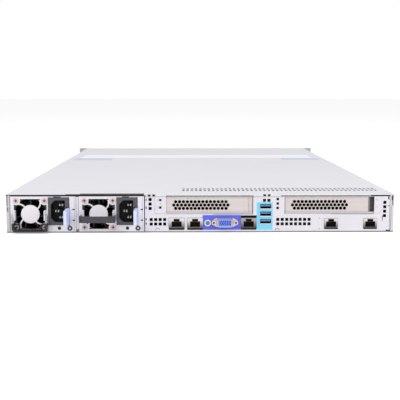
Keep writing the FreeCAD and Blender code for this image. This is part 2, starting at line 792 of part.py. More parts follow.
def make_lever(index):
    """The carrier's ejector lever: a bar with a rounded barrel round the pin."""
    x, y = lever_pivot(index)
    left = f"({bay_left(index)} + carrier_clearance)"
    bottom, top = f"({FLOOR} + carrier_clearance)", f"({FLOOR} + bay_height - carrier_clearance)"
    middle = f"({bottom} + {top}) / 2"
    height = (f"{middle} - lever_height / 2", f"{middle} + lever_height / 2")
    bar = block("lever_bar", (f"{left} + lever_margin + carrier_clearance", x),
                (f"{y} - lever_thickness / 2", f"{y} + lever_thickness / 2"), height)
    barrel = rod("lever_barrel", "z", (x, y), height, "lever_radius")
    bore = rod("lever_bore", "z", (x, y), (f"{height[0]} - 1", f"{height[1]} + 1"),
               "lever_pin_radius + pivot_clearance")
    return node(f"carrier_lever_{index + 1}", cut("lever", fuse("lever_blank", [bar, barrel]), [bore]))


def make_hard_drive(index):
    left = f"({bay_left(index)} + carrier_clearance + carrier_wall)"
    bottom = f"({FLOOR} + carrier_clearance + carrier_wall)"
    tail = f"{FRONT} - ear_thickness - carrier_face_thickness - drive_length"
    width = "bay_width - 2 * carrier_clearance - 2 * carrier_wall"
    drive = block("drive", (left, f"{left} + {width}"), (tail, f"{tail} + drive_length"),
                  (bottom, f"{bottom} + drive_height"))
    return node(f"hard_drive_{index + 1}", drive)


def make_power_button():
    middle = power_button_height()
    front = f"{FRONT} - ear_thickness + power_button_stand_out"
    return node("power_button", rod("power_cap", "y", ("power_button_center", middle),
                                    (f"{front} - power_button_length", front), "power_button_radius"))


# ---- boards and cooling --------------------------------------------------------------------

def make_board():
    """The main board: full behind the rear wall, with a wing behind the power supplies."""
    rear = f"{WALL_IN} + board_setback"
    front = f"{rear} + board_length"
    height = ("board_bottom", BOARD_TOP)
    right = block("board_right", ("rear_wall_left + board_side_gap", f"{PAN_INSIDE} - board_side_gap"),
                  (rear, front), height)
    wing = block("board_wing", (f"-{PAN_INSIDE} + board_side_gap", "rear_wall_left + 2 * board_side_gap"),
                 (f"{REAR} + psu_length + board_wing_setback", front), height)
    return node("motherboard", fuse("board", [right, wing]))


def make_heatsinks():
    """Two processor coolers: a base with upright fins set in it along the air's way."""
    pieces = []
    along = (f"{COOLER_MIDDLE} - heatsink_size / 2", f"{COOLER_MIDDLE} + heatsink_size / 2")
    base_top = f"{BOARD_TOP} + heatsink_base"
    for index in range(2):
        left = f"({cooler_centre(index)} - heatsink_size / 2)"
        pieces.append(block("cooler_base", (left, f"{left} + heatsink_size"), along, (BOARD_TOP, base_top)))
        for fin in range(int(SIZES["fin_count"])):
            low = f"{left} + {fin} * (heatsink_size - fin_thickness) / (fin_count - 1)"
            pieces.append(block("fin", (low, f"{low} + fin_thickness"), along,
                                (base_top, f"{BOARD_TOP} + heatsink_height")))
    return node("heatsinks", gather("coolers", pieces))


def cooler_centre(index):
    return f"(heatsink_center + {2 * index - 1} * heatsink_pitch / 2)"


def make_memory():
    """Memory modules in their sockets, three beside either processor."""
    modules = []
    along = (f"{COOLER_MIDDLE} - memory_length / 2", f"{COOLER_MIDDLE} + memory_length / 2")
    for index in range(2):
        for place in range(3):
            left = f"{cooler_centre(index)} + heatsink_size / 2 + memory_gap + {place} * memory_pitch"
            modules.append(block("module", (left, f"{left} + memory_thickness"), along,
                                 (BOARD_TOP, f"{BOARD_TOP} + memory_height")))
    return node("memory_modules", gather("modules", modules))


def blade(name, centre, hub, tip, span, index):
    """One impeller blade, lofted outwards from its root in the hub to a tip inside the swept circle."""
    turn = 2 * math.pi * index / number("blade_count")
    outward = FreeCAD.Vector(math.cos(turn), 0, math.sin(turn))
    around = FreeCAD.Vector(-math.sin(turn), 0, math.cos(turn))
    middle = FreeCAD.Vector(number(centre[0]), 0, number(centre[1]))
    rear = FreeCAD.Vector(0, number(span[0]), 0)
    front = FreeCAD.Vector(0, number(span[1]), 0)
    half = number("blade_thickness") / 2
    lean = number("blade_lean")
    tip_reach = math.sqrt(number(tip) ** 2 - (lean + half) ** 2)
    sections = []
    for reach in (number(hub) - 1, tip_reach):
        root = middle + outward * reach
        corners = [root + rear + around * (-lean - half), root + rear + around * (half - lean),
                   root + front + around * (lean + half), root + front + around * (lean - half)]
        sections.append(Part.makePolygon(corners + corners[:1]))
    feature = doc.addObject("Part::Feature", name)
    feature.Shape = Part.makeLoft(sections, True, True)
    return feature


def make_rotor(label, centre, rear, depth, hub, tip):
    """A fan rotor: a hub cup with its blades and a shaft into the frame's boss."""
    front = f"{rear} + {depth}"
    pieces = [rod("rotor_hub", "y", centre, (rear, front), hub),
              rod("rotor_shaft", "y", centre, (front, f"{front} + shaft_length"), "shaft_radius")]
    span = (f"{rear} + blade_setback", f"{front} - blade_setback")
    for index in range(int(SIZES["blade_count"])):
        pieces.append(blade("rotor_blade", centre, hub, tip, span, index))
    return node(label, fuse("rotor", pieces))


def fan_frame(centre, rear, size, depth, bore):
    """A square fan housing with a round way through and a bearing boss on four struts."""
    x, z = centre
    front = f"{rear} + {depth}"
    blank = block("fan_blank", (f"{x} - {size} / 2", f"{x} + {size} / 2"), (rear, front),
                  (f"{z} - {size} / 2", f"{z} + {size} / 2"))
    way = rod("fan_way", "y", centre, (f"{rear} - 1", f"{front} + 1"), bore)
    boss_span = (f"{front} - fan_boss_length", front)
    boss = block("fan_boss", (f"{x} - fan_boss_size / 2", f"{x} + fan_boss_size / 2"), boss_span,
                 (f"{z} - fan_boss_size / 2", f"{z} + fan_boss_size / 2"))
    reach, half = f"({bore} + fan_strut_width / 4)", "fan_strut_width / 2"
    bars = [block("fan_strut", (f"{x} - {reach}", f"{x} + {reach}"), boss_span, (f"{z} - {half}", f"{z} + {half}")),
            block("fan_strut", (f"{x} - {half}", f"{x} + {half}"), boss_span, (f"{z} - {reach}", f"{z} + {reach}"))]
    seat = rod("fan_seat", "y", centre, (f"{boss_span[0]} - 1", f"{front} + 1"), "shaft_radius + shaft_clearance")
    return cut("fan_frame", fuse("fan_body", [cut("fan_ring", blank, [way]), boss] + bars), [seat])


def make_system_fans():
    """Five fans in a row across the chassis, between the boards and the drives."""
    frames = []
    for index in range(5):
        centre = (f"({index - 2} * fan_pitch)", f"({FLOOR} + fan_size / 2)")
        frames.append(fan_frame(centre, FAN_PLACE, "fan_size", "fan_depth", "fan_bore"))
        make_rotor(f"fan_rotor_{index + 1}", centre, f"({FAN_PLACE} + 2)", "fan_depth - 6.4", "fan_hub",
                   "fan_blade_tip")
    return node("fan_frames", gather("frames", frames))


# ---- rear ports ----------------------------------------------------------------------------

def jack_places():
    """Left edge, width and height of each modular jack and its opening's top, from left to right."""
    top = f"{BOARD_TOP} + lan_height + port_clearance"
    small_top = f"{BOARD_TOP} + small_lan_height + port_clearance"
    return (("lan_left", "lan_width", "lan_height", top),
            ("lan_left + lan_pitch", "lan_width", "lan_height", top),
            ("serial_left", "lan_width", "lan_height", "serial_opening_top"),
            ("small_lan_1_left", "small_lan_width", "small_lan_height", small_top),
            ("small_lan_2_left", "small_lan_width", "small_lan_height", small_top))


def usb_heights():
    return "usb_bottom", "usb_middle", "usb_top"


def jack(left, width, height):
    """A modular jack: a box with a stepped mouth whose latch notch is at the top."""
    face = f"{WALL_OUT} - port_stand_out"
    shell = block("jack_shell", (left, f"{left} + {width}"), (face, f"{face} + lan_depth"),
                  (BOARD_TOP, f"{BOARD_TOP} + {height}"))
    middle = f"{left} + {width} / 2"
    floor = f"{BOARD_TOP} + {height} / 2 - (lan_mouth_height + lan_notch_height) / 2"
    depth = (f"{face} - 1", f"{face} + lan_mouth_depth")
    mouth = block("jack_mouth", (f"{middle} - lan_mouth_width / 2", f"{middle} + lan_mouth_width / 2"),
                  depth, (floor, f"{floor} + lan_mouth_height"))
    notch = block("jack_notch", (f"{middle} - lan_notch_width / 2", f"{middle} + lan_notch_width / 2"),
                  depth, (f"{floor} + lan_mouth_height - 1", f"{floor} + lan_mouth_height + lan_notch_height"))
    return cut("jack", shell, [fuse("jack_hollow", [mouth, notch])])


def make_jacks():
    jacks = [jack(left, width, height) for left, width, height, top in jack_places()]
    serial = jacks.pop(2)
    node("serial_jack", serial)
    node("lan_jacks", gather("network_jacks", jacks))


def make_vga():
    """The video socket: a flange with a D-shaped shell and two hex jackscrews, and its insert."""
    body = new_body("video_shell")
    place = ("vga_center", "vga_height", f"-{WALL_OUT}")
    flange = new_sketch(body, "flange_outline", "XZ_Plane", *place)
    wide, tall = "vga_flange_width / 2", "vga_ear_height / 2"
    middle, high = "vga_flange_middle / 2", "vga_flange_height / 2"
    polygon(flange, [(f"-{wide}", f"-{tall}"), (f"-{middle}", f"-{high}"), (middle, f"-{high}"), (wide, f"-{tall}"),
                     (wide, tall), (middle, high), (f"-{middle}", high), (f"-{wide}", tall)])
    pad(body, "flange", flange, "vga_flange_thickness")
    rim = new_sketch(body, "rim_outline", "XZ_Plane", *place)
    polygon(rim, d_outline("vga_shell_wall"))
    pad(body, "rim", rim, "vga_shell_depth")
    hollow = new_sketch(body, "rim_hollow", "XZ_Plane", *place)
    polygon(hollow, d_outline("0"))
    pocket(body, "hollow", hollow, "3 * vga_shell_depth")
    for side in ("-", "+"):
        place = (f"vga_center {side} vga_screw_span / 2", "vga_height", f"-{WALL_OUT}")
        screw = new_sketch(body, "screw_outline", "XZ_Plane", *place)
        regular_hexagon(screw, "vga_screw_flats")
        pad(body, "screw", screw, "vga_screw_length")
        thread = new_sketch(body, "thread_outline", "XZ_Plane", *place)
        circle(thread, "0", "0", "vga_thread_radius")
        pocket(body, "thread", thread, "3 * vga_screw_length")
    node("vga_shell", body)
    insert = new_body("video_insert")
    face = new_sketch(insert, "insert_outline", "XZ_Plane", "vga_center", "vga_height", f"-{WALL_OUT}")
    polygon(face, d_outline("0"))
    pad(insert, "insert", face, "vga_shell_depth - vga_flange_thickness")
    node("vga_insert", insert)


def d_outline(grow):
    """The four corners of a D-shaped shell, wider at the top."""
    top = f"(vga_shell_width / 2 + {grow})"
    bottom = f"(vga_shell_width / 2 - 1.5 + {grow})"
    rise = f"(vga_shell_height / 2 + {grow})"
    return [(f"-{bottom}", f"-{rise}"), (bottom, f"-{rise}"), (top, rise), (f"-{top}", rise)]


def make_usb():
    """Three stacked ports, each a thin shell with a tongue in the upper half of its mouth."""
    shells, tongues = [], []
    face = f"{WALL_OUT} - port_stand_out"
    back = f"{face} + usb_depth"
    half, inside, reach = "usb_width / 2", "(usb_width / 2 - usb_wall)", "usb_tongue_width / 2"
    for height in usb_heights():
        top, bottom = f"{height} + usb_height / 2", f"{height} - usb_height / 2"
        shell = block("usb_shell", (f"usb_center - {half}", f"usb_center + {half}"), (face, back), (bottom, top))
        hollow = block("usb_hollow", (f"usb_center - {inside}", f"usb_center + {inside}"),
                       (f"{face} - 1", f"{back} - usb_wall"), (f"{bottom} + usb_wall", f"{top} - usb_wall"))
        shells.append(cut("usb", shell, [hollow]))
        tongues.append(block("usb_tongue", (f"usb_center - {reach}", f"usb_center + {reach}"),
                             (f"{face} + 1", f"{back} - usb_wall"),
                             (f"{top} - usb_wall - usb_tongue_thickness", f"{top} - usb_wall")))
    node("usb_shells", gather("usb_ports", shells))
    node("usb_tongues", gather("usb_inserts", tongues))


def make_id_button():
    face = f"{WALL_OUT} - button_stand_out"
    return node("id_button", rod("button", "y", ("button_center", "button_height"),
                                 (face, f"{face} + button_length"), "button_radius"))


# ---- expansion slots -----------------------------------------------------------------------

def slot_cover(left, right):
    """A slot cover with three staggered rows of six-sided holes and a plain right end."""
    body = new_body("slot_plate")
    middle = "(slot_bottom + slot_top) / 2"
    top = f"{middle} + slot_cover_height / 2"
    plane = f"-{WALL_IN}"
    outline = new_sketch(body, "plate_outline", "XZ_Plane", depth=plane)
    x = (f"{left} - slot_cover_overlap", f"{right} - slot_end_gap")
    rectangle(outline, x, (f"{middle} - slot_cover_height / 2", top))
    pad(body, "plate", outline, "slot_cover_thickness", backwards=True)
    tab = new_sketch(body, "tab_outline", "XZ_Plane", depth=plane)
    rectangle(tab, (f"{x[1]} - slot_cover_tab", x[1]), (f"{top} - slot_cover_thickness", top))
    pad(body, "tab", tab, "slot_cover_tab", backwards=True)
    for row, stagger in ((-1, 0.5), (0, 0), (1, 0.5)):
        start = f"{left} + honeycomb_margin + {stagger} * honeycomb_pitch"
        height = f"honeycomb_height + {row} * honeycomb_row_pitch"
        sketch = new_sketch(body, "hexagon", "XZ_Plane", start, height, plane)
        regular_hexagon(sketch, "honeycomb_hole")
        hole = pocket(body, "hexagon_hole", sketch, "4 * sheet_thickness")
        count = "honeycomb_count - 1" if stagger else "honeycomb_count"
        pattern(body, "hexagon_row", hole, sketch, f"({count})", "honeycomb_pitch")
    return body


def make_slot_covers():
    plates = [slot_cover("slot_1_left", "slot_1_right"), slot_cover("slot_2_left", "slot_2_right")]
    return node("slot_covers", gather("slot_plates", plates))


def make_riser_brackets():
    """Each riser's bracket: a drilled flap on the rear wall, and the wall that holds the card."""
    pieces = []
    flaps = (("slot_1_left - flap_gap - flap_width", "flap_width"), ("slot_2_right + flap_gap", "small_flap_width"))
    for (left, width), wall in zip(flaps, riser_walls()):
        flap = block("flap", (left, f"{left} + {width}"), (f"{WALL_OUT} - flap_thickness", WALL_OUT),
                     ("flap_bottom", "rear_wall_height"))
        depth = (f"{WALL_OUT} - 2 * flap_thickness", WALL_IN)
        holes = [rod("flap_hole", "y", (f"{left} + {width} / 3", height), depth, "flap_hole / 2")
                 for height in ("flap_hole_low", "flap_hole_high")]
        pieces.append(cut("drilled_flap", flap, holes))
        pieces.append(block("riser_wall", (wall, f"{wall} + flap_thickness"),
                            (WALL_IN, f"{WALL_IN} + riser_wall_length"), (BOARD_TOP, "riser_wall_top")))
    return node("riser_brackets", gather("brackets", pieces))


def riser_walls():
    """The low X face of each riser's wall."""
    return "slot_1_left - riser_wall_offset", "slot_2_right + riser_wall_offset"


def make_riser_cards():
    cards = []
    rear = f"{WALL_IN} + riser_card_setback"
    for wall, gap in zip(riser_walls(), ("-riser_card_thickness", "flap_thickness")):
        low = f"{wall} + ({gap})"
        cards.append(block("riser_card", (low, f"{low} + riser_card_thickness"),
                           (rear, f"{rear} + riser_card_length"), (BOARD_TOP, f"{BOARD_TOP} + riser_card_height")))
    return node("riser_cards", gather("cards", cards))


# ---- power supplies ------------------------------------------------------------------------

def psu_left(index):
    return f"(-chassis_width / 2 + psu_side_margin + {index} * psu_pitch)"


PSU_FACE = f"({REAR} + psu_inset)"
PSU_BOTTOM = f"({FLOOR} + psu_lift)"
PSU_MIDDLE = f"({PSU_BOTTOM} + psu_height / 2)"
GUARD_BACK = f"({PSU_FACE} + guard_thickness)"


def make_bay_walls():
    """The walls beside the power supplies: one between the two, one on their right."""
    walls = []
    half = "sheet_thickness / 2"
    for index in (0, 1):
        middle = f"({psu_left(index)} + (psu_width + psu_pitch) / 2)"
        walls.append(block("bay_wall", (f"{middle} - {half}", f"{middle} + {half}"),
                           (WALL_IN, f"{REAR} + psu_length + 15"), (FLOOR, "rear_wall_height")))
    return node("psu_bay_walls", gather("bay_walls", walls))


def make_psu_case(index):
    """The power supply's steel case, open behind the guard, with its card edge at the far end."""
    left = psu_left(index)
    right, top = f"({left} + psu_width)", f"({PSU_BOTTOM} + psu_height)"
    far = f"({PSU_FACE} + psu_length)"
    blank = block("case_blank", (left, right), (GUARD_BACK, far), (PSU_BOTTOM, top))
    bay = block("case_bay", (f"{left} + psu_wall", f"{right} - psu_wall"),
                (f"{GUARD_BACK} - 1", f"{GUARD_BACK} + psu_bay_length"),
                (f"{PSU_BOTTOM} + psu_wall", f"{top} - psu_wall"))
    edge = block("card_edge", (f"{left} + card_edge_inset", f"{right} - card_edge_inset"),
                 (f"{far} - 1", f"{far} + card_edge_length"),
                 ("card_edge_bottom", "card_edge_bottom + card_edge_thickness"))
    pin_top = "latch_bottom + latch_height + latch_clearance"
    pin = rod("latch_pin", "z", latch_pivot(index), (PSU_BOTTOM, pin_top), "latch_pin_radius")
    return node(f"psu_{index + 1}_case", fuse("case", [cut("case_cut", blank, [bay]), edge, pin]))


def latch_pivot(index):
    return (f"({psu_left(index)} + latch_left + latch_thickness / 2)", f"({PSU_FACE} + latch_pivot_depth)")


def make_guard(index):
    """The face plate: a fan opening crossed by a hub and swept spokes, its cut-outs, the bail's lugs."""
    left = psu_left(index)
    body = new_body("guard")
    plane = f"-{PSU_FACE}"
    outline = new_sketch(body, "guard_outline", "XZ_Plane", left, PSU_BOTTOM, plane)
    rectangle(outline, ("0", "psu_width"), ("0", "psu_height"))
    pad(body, "guard_plate", outline, "guard_thickness", backwards=True)
    centre = (f"{left} + fan_center", PSU_MIDDLE)
    opening = new_sketch(body, "fan_opening", "XZ_Plane", *centre, plane)
    rectangle(opening, ("-guard_window_side", "guard_window_side"), ("-guard_window_top", "guard_window_top"))
    pocket(body, "fan_hole", opening, "4 * guard_thickness")
    rounds = new_sketch(body, "pad_outlines", "XZ_Plane", *centre, plane)
    for x in ("-fan_screw_side", "fan_screw_side"):
        for z in ("-fan_screw_top", "fan_screw_top"):
            circle(rounds, x, z, "guard_pad")
    circle(rounds, "0", "0", "guard_hub")
    pad(body, "screw_pads", rounds, "guard_thickness", backwards=True)
    spoke = new_sketch(body, "spoke_outline", "XZ_Plane", *centre, plane)
    swept_spoke(spoke)
    first = pad(body, "spoke", spoke, "guard_thickness", backwards=True)
    ring = body.newObject("PartDesign::PolarPattern", "spokes")
    ring.Originals = [first]
    ring.Axis = (spoke, ["N_Axis"])
    ring.Angle = 360
    ring.setExpression("Occurrences", formula("spoke_count"))
    body.Tip = ring
    cut_guard(body, left, plane)
    return node(f"psu_{index + 1}_guard", gather("guard_parts", [body] + bail_brackets(index)))


def cut_guard(body, left, plane):
    """The face plate's openings for the inlet, the lamp, the knob and the release tab."""
    holes = new_sketch(body, "guard_cuts", "XZ_Plane", left, "0", plane)
    rectangle(holes, ("inlet_left - port_clearance", "inlet_left + inlet_width + port_clearance"),
              ("inlet_bottom - port_clearance", "inlet_bottom + inlet_height + port_clearance"))
    circle(holes, "lamp_place", "lamp_height", "lamp_hole")
    circle(holes, "knob_place", "lamp_height", "knob_hole")
    pocket(body, "guard_holes", holes, "4 * guard_thickness")
    gap = new_sketch(body, "latch_gap", "XZ_Plane", left, "0", plane)
    rectangle(gap, ("latch_left - latch_clearance", "latch_left + latch_thickness + cover_clearance"),
              ("latch_bottom - cover_clearance", "latch_bottom + latch_height + cover_clearance"))
    pocket(body, "latch_hole", gap, "4 * guard_thickness")


def bail_brackets(index):
    """The two lugs of the bail: each a foot at the opening's edge, an ear and a pin."""
    centre = f"({psu_left(index)} + fan_center)"
    height = ("bail_pivot_height - bail_lug_drop", "bail_pivot_height + bail_lug_rise")
    near = "(bail_width / 2 - bail_arm - cover_clearance - bail_lug_thickness)"
    far = f"({near} + bail_lug_thickness)"
    pin_end = "(bail_width / 2 - cover_clearance)"
    brackets = []
    for side in (-1, 1):
        lug = block("lug", offset(centre, side, near, far),
                    (f"{PSU_FACE} - bail_pivot_reach - bail_lug_drop", GUARD_BACK), height)
        foot = block("lug_foot", offset(centre, side, far, "guard_window_side"), (PSU_FACE, GUARD_BACK), height)
        pin = rod("bail_pin", "x", (f"{PSU_FACE} - bail_pivot_reach", "bail_pivot_height"),
                  offset(centre, side, near, pin_end), "bail_pin_radius")
        brackets.append(fuse("bail_bracket", [lug, foot, pin]))
    return brackets


def offset(centre, side, near, far):
    """A span beside a centre, to its left for a negative side and to its right for a positive."""
    return (f"{centre} - {far}", f"{centre} - {near}") if side < 0 else (f"{centre} + {near}", f"{centre} + {far}")


def swept_spoke(sketch):
    """A curved bar from a corner of the opening to the hub: two arcs about one centre."""
    bend, width = number("spoke_bend"), number("spoke_width")
    centre = FreeCAD.Vector(-number("spoke_offset"), number("spoke_lift"), 0)
    radii = (bend - width / 2, bend + width / 2)
    start, stop = math.radians(number("spoke_start")), math.radians(number("spoke_stop"))
    axis = FreeCAD.Vector(0, 0, 1)
    arcs = []
    for radius in radii:
        arcs.append(sketch.addGeometry(Part.ArcOfCircle(Part.Circle(centre, axis, radius), start, stop)))
    lines = []
    for angle in (start, stop):
        way = FreeCAD.Vector(math.cos(angle), math.sin(angle), 0)
        lines.append(sketch.addGeometry(Part.LineSegment(centre + way * radii[0], centre + way * radii[1])))
    sketch.addConstraint(Sketcher.Constraint("Coincident", arcs[0], 3, arcs[1], 3))
    for line, point in zip(lines, (1, 2)):
        sketch.addConstraint(Sketcher.Constraint("Coincident", line, 1, arcs[0], point))
        sketch.addConstraint(Sketcher.Constraint("Coincident", line, 2, arcs[1], point))
    bind(sketch, "Radius", (arcs[0],), "spoke_bend - spoke_width / 2")
    bind(sketch, "Radius", (arcs[1],), "spoke_bend + spoke_width / 2")
    bind(sketch, "DistanceX", (-1, 1, arcs[0], 3), "-spoke_offset")
    bind(sketch, "DistanceY", (-1, 1, arcs[0], 3), "spoke_lift")


def make_inlet(index):
    """The mains inlet, turned on its side: a housing, its chamfered hollow and three blades."""
    left = f"({psu_left(index)} + inlet_left)"
    body = new_body("inlet")
    face = f"({PSU_FACE} - inlet_stand_out)"
    outline = new_sketch(body, "inlet_outline", "XZ_Plane", left, "inlet_bottom", f"-{face}")
    notch_left = "latch_left - inlet_left - latch_clearance"
    notch_top = "latch_bottom + latch_height + latch_clearance - inlet_bottom"
    polygon(outline, [("0", "0"), (notch_left, "0"), (notch_left, notch_top), ("inlet_width", notch_top),
                      ("inlet_width", "inlet_height"), ("0", "inlet_height")])
    pad(body, "inlet_body", outline, "inlet_depth", backwards=True)
    mouth = new_sketch(body, "mouth_outline", "XZ_Plane", f"{left} + inlet_mouth_left",
                       "inlet_bottom + inlet_mouth_lift", f"-{face}")
    wide, tall, bevel = "inlet_mouth_width", "inlet_mouth_height", "inlet_chamfer"
    polygon(mouth, [(bevel, "0"), (wide, "0"), (wide, tall), (bevel, tall), ("0", f"{tall} - {bevel}"), ("0", bevel)])
    pocket(body, "mouth", mouth, "2 * inlet_mouth_depth")
    node(f"psu_{index + 1}_inlet", body)
    floor = f"({face} + inlet_mouth_depth)"
    middle = "(inlet_bottom + inlet_mouth_lift + inlet_mouth_height / 2)"
    pins = []
    for across, up in (("earth_pin_place", "0"), ("live_pin_place", "-pin_pitch"), ("live_pin_place", "pin_pitch")):
        low = f"{left} + inlet_mouth_left + {across}"
        pins.append(block("inlet_pin", (low, f"{low} + pin_width"), (f"{floor} - pin_length", floor),
                          (f"{middle} + {up} - pin_thickness / 2", f"{middle} + {up} + pin_thickness / 2")))
    return node(f"psu_{index + 1}_inlet_pins", gather("pins", pins))


def make_bail(index, folded):
    """The bail handle: a strip bent to a U with round ends, drawn straight out from its pivot."""
    body = new_body("bail")
    half, arm, bend = "bail_width / 2", "bail_arm", "bail_bend"
    outline = new_sketch(body, "bail_outline", "XY_Plane")
    inner_end = f"-(bail_length - {arm})"
    polygon(outline, [
        (f"-{half}", "0"), (f"-{half}", f"{bend} - bail_length"), (f"-{half} + {bend}", "-bail_length"),
        (f"{half} - {bend}", "-bail_length"), (half, f"{bend} - bail_length"), (half, "0"),
        (f"{half} - {arm}", "0"), (f"{half} - {arm}", f"{inner_end} + {bend}"),
        (f"{half} - {arm} - {bend}", inner_end), (f"-{half} + {arm} + {bend}", inner_end),
        (f"-{half} + {arm}", f"{inner_end} + {bend}"), (f"-{half} + {arm}", "0")])
    pad(body, "bail_strip_pad", outline, "bail_strip", middle=True)
    for side, low in ((-1, f"-{half}"), (1, f"{half} - {arm}")):
        end = new_sketch(body, "bail_end", "YZ_Plane", depth=low)
        circle(end, "0", "0", "bail_strip / 2")
        pad(body, "bail_end_pad", end, arm)
    bore = new_sketch(body, "bail_bore", "YZ_Plane")
    circle(bore, "0", "0", "bail_pin_radius + pivot_clearance")
    pocket(body, "bail_bores", bore, "2 * bail_width")
    turn = FreeCAD.Rotation(FreeCAD.Vector(1, 0, 0), 90 if folded else 0)
    body.Placement = FreeCAD.Placement(FreeCAD.Vector(), turn)
    place = (f"{psu_left(index)} + fan_center", f"{PSU_FACE} - bail_pivot_reach", "bail_pivot_height")
    for axis, text in zip("xyz", place):
        body.setExpression("Placement.Base." + axis, formula(text))
    return node(f"psu_{index + 1}_handle", body)


def make_latch(index):
    """The release tab: a slanted tongue that reaches out of the face, with a barrel on its pin."""
    x, y = latch_pivot(index)
    body = new_body("latch_tab")
    side = new_sketch(body, "tab_outline", "YZ_Plane", depth=f"{x} - latch_thickness / 2")
    tip = f"({PSU_FACE} - latch_reach)"
    top = "(latch_bottom + latch_height)"
    polygon(side, [(y, "latch_bottom"), (y, top), (f"{tip} + 1.5", top), (tip, f"{top} - 1.5"),
                   (tip, "latch_bottom + latch_rise")])
    pad(body, "tab", side, "latch_thickness")
    barrel = new_sketch(body, "barrel_outline", "XY_Plane", depth="latch_bottom")
    circle(barrel, x, y, "latch_barrel_radius")
    pad(body, "barrel", barrel, "latch_height")
    bore = new_sketch(body, "bore_outline", "XY_Plane", depth="latch_bottom")
    circle(bore, x, y, "latch_pin_radius + pivot_clearance")
    pocket(body, "bore", bore, "3 * latch_height")
    return node(f"psu_{index + 1}_latch", body)


def make_psu(index):
    centre = (f"({psu_left(index)} + fan_center)", PSU_MIDDLE)
    make_psu_case(index)
    make_guard(index)
    node(f"psu_{index + 1}_fan_frame", fan_frame(centre, GUARD_BACK, "psu_fan_size", "psu_fan_depth", "psu_fan_bore"))
    make_rotor(f"psu_{index + 1}_fan_rotor", centre, f"({GUARD_BACK} + 1.5)", "psu_fan_depth - 6",
               "psu_fan_hub", "psu_blade_tip")
    make_inlet(index)
    make_bail(index, folded=index == 0)
    make_latch(index)


# ---- the whole server ----------------------------------------------------------------------

def build():
    make_chassis_pan()
    make_rear_wall()
    make_rear_cover()
    make_cover_grips()
    make_front_cover()
    make_access_panel()
    make_rack_ear("left", -1)
    make_rack_ear("right", 1)
    make_front_frame()
    make_drive_cage()
    make_backplane()
    for index in range(4):
        make_carrier(index)
        make_hard_drive(index)
        make_lever(index)
    make_power_button()
    make_board()
    make_heatsinks()
    make_memory()
    make_system_fans()
    make_jacks()
    make_vga()
    make_usb()
    make_id_button()
    make_slot_covers()
    make_riser_brackets()
    make_riser_cards()
    make_bay_walls()
    for index in range(2):
        make_psu(index)


def check_and_write():
    """Stop on any failed object or bad solid, then write one file for each sub-part."""
    doc.recompute()
    for item in doc.Objects:
        if "Invalid" in item.State or "Error" in item.State:
            raise SystemExit(f"{item.Label} did not build: {item.State}")
    for item in NODES:
        if item.Shape.isNull() or not item.Shape.isValid() or not item.Shape.Solids:
            raise SystemExit(f"{item.Label} has no valid solid")
    os.makedirs("parts", exist_ok=True)
    for item in NODES:
        item.Shape.exportStep(f"parts/{item.Label}.step")
        box = item.Shape.BoundBox
        size = f"{box.XLength:.1f} x {box.YLength:.1f} x {box.ZLength:.1f} mm"
        print(f"{item.Label}: {len(item.Shape.Solids)} solid(s), {size}")


build()
check_and_write()
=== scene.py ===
import math

import bmesh
import bpy
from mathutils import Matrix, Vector


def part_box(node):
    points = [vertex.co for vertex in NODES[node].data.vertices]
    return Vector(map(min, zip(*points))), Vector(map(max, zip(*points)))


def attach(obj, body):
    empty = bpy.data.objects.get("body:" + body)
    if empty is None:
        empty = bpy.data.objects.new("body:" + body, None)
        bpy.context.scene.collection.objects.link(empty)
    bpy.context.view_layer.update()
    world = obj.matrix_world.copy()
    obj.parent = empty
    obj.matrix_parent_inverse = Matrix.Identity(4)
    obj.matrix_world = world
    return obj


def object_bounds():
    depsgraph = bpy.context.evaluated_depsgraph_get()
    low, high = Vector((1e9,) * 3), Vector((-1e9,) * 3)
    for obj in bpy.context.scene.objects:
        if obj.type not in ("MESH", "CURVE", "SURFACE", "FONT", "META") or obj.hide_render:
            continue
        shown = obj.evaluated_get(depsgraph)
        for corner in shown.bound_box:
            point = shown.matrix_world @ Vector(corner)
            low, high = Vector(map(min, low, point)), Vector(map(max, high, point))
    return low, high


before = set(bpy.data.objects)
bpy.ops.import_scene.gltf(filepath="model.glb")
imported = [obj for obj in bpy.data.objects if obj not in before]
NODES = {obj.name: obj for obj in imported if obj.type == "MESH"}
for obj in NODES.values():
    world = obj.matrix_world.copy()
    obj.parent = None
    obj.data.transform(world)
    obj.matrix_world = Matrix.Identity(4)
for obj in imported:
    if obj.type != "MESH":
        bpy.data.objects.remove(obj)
CAD_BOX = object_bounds()
MM = 0.001

# ---- shared places, in metres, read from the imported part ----

WALL_LOW, WALL_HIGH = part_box("rear_panel")
WALL_FACE, WALL_BACK = WALL_LOW.y, WALL_HIGH.y
COVER_LOW, COVER_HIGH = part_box("rear_cover")
PAN_LOW, PAN_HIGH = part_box("chassis_pan")
JACK_LOW, JACK_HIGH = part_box("serial_jack")
JACK_FACE = JACK_LOW.y
FRONT_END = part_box("front_frame")[1].y
BAY_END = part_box("psu_2_guard")[1].x
CASE_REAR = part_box("psu_1_case")[0].y
INLET_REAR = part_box("psu_1_inlet")[0].y
LATCH_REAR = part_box("psu_1_latch")[0].y
FOLDED_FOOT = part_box("psu_1_handle")[0].z
RAISED_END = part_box("psu_2_handle")[1].y
SHEET = 1.0 * MM
ROOF_FOOT = COVER_HIGH.z - SHEET
SUPPLY_FACE = CASE_REAR - 0.8 * MM


def middle(box):
    """The middle of a box, across and up."""
    low, high = box
    return (low.x + high.x) / 2, (low.z + high.z) / 2


# ---- node building ----

def seen(colour):
    """A colour given as the eye sees it, from 0 to 1, on the linear scale that shaders use."""
    return tuple(part / 12.92 if part <= 0.04045 else ((part + 0.055) / 1.055) ** 2.4 for part in colour)


def darker(colour, share):
    return tuple(share * part for part in colour)


def socket_kind(value):
    """The kind of socket that holds a value; None stands for a material."""
    return "NodeSocket" + {float: "Float", int: "Int", tuple: "Vector", type(None): "Material"}[type(value)]


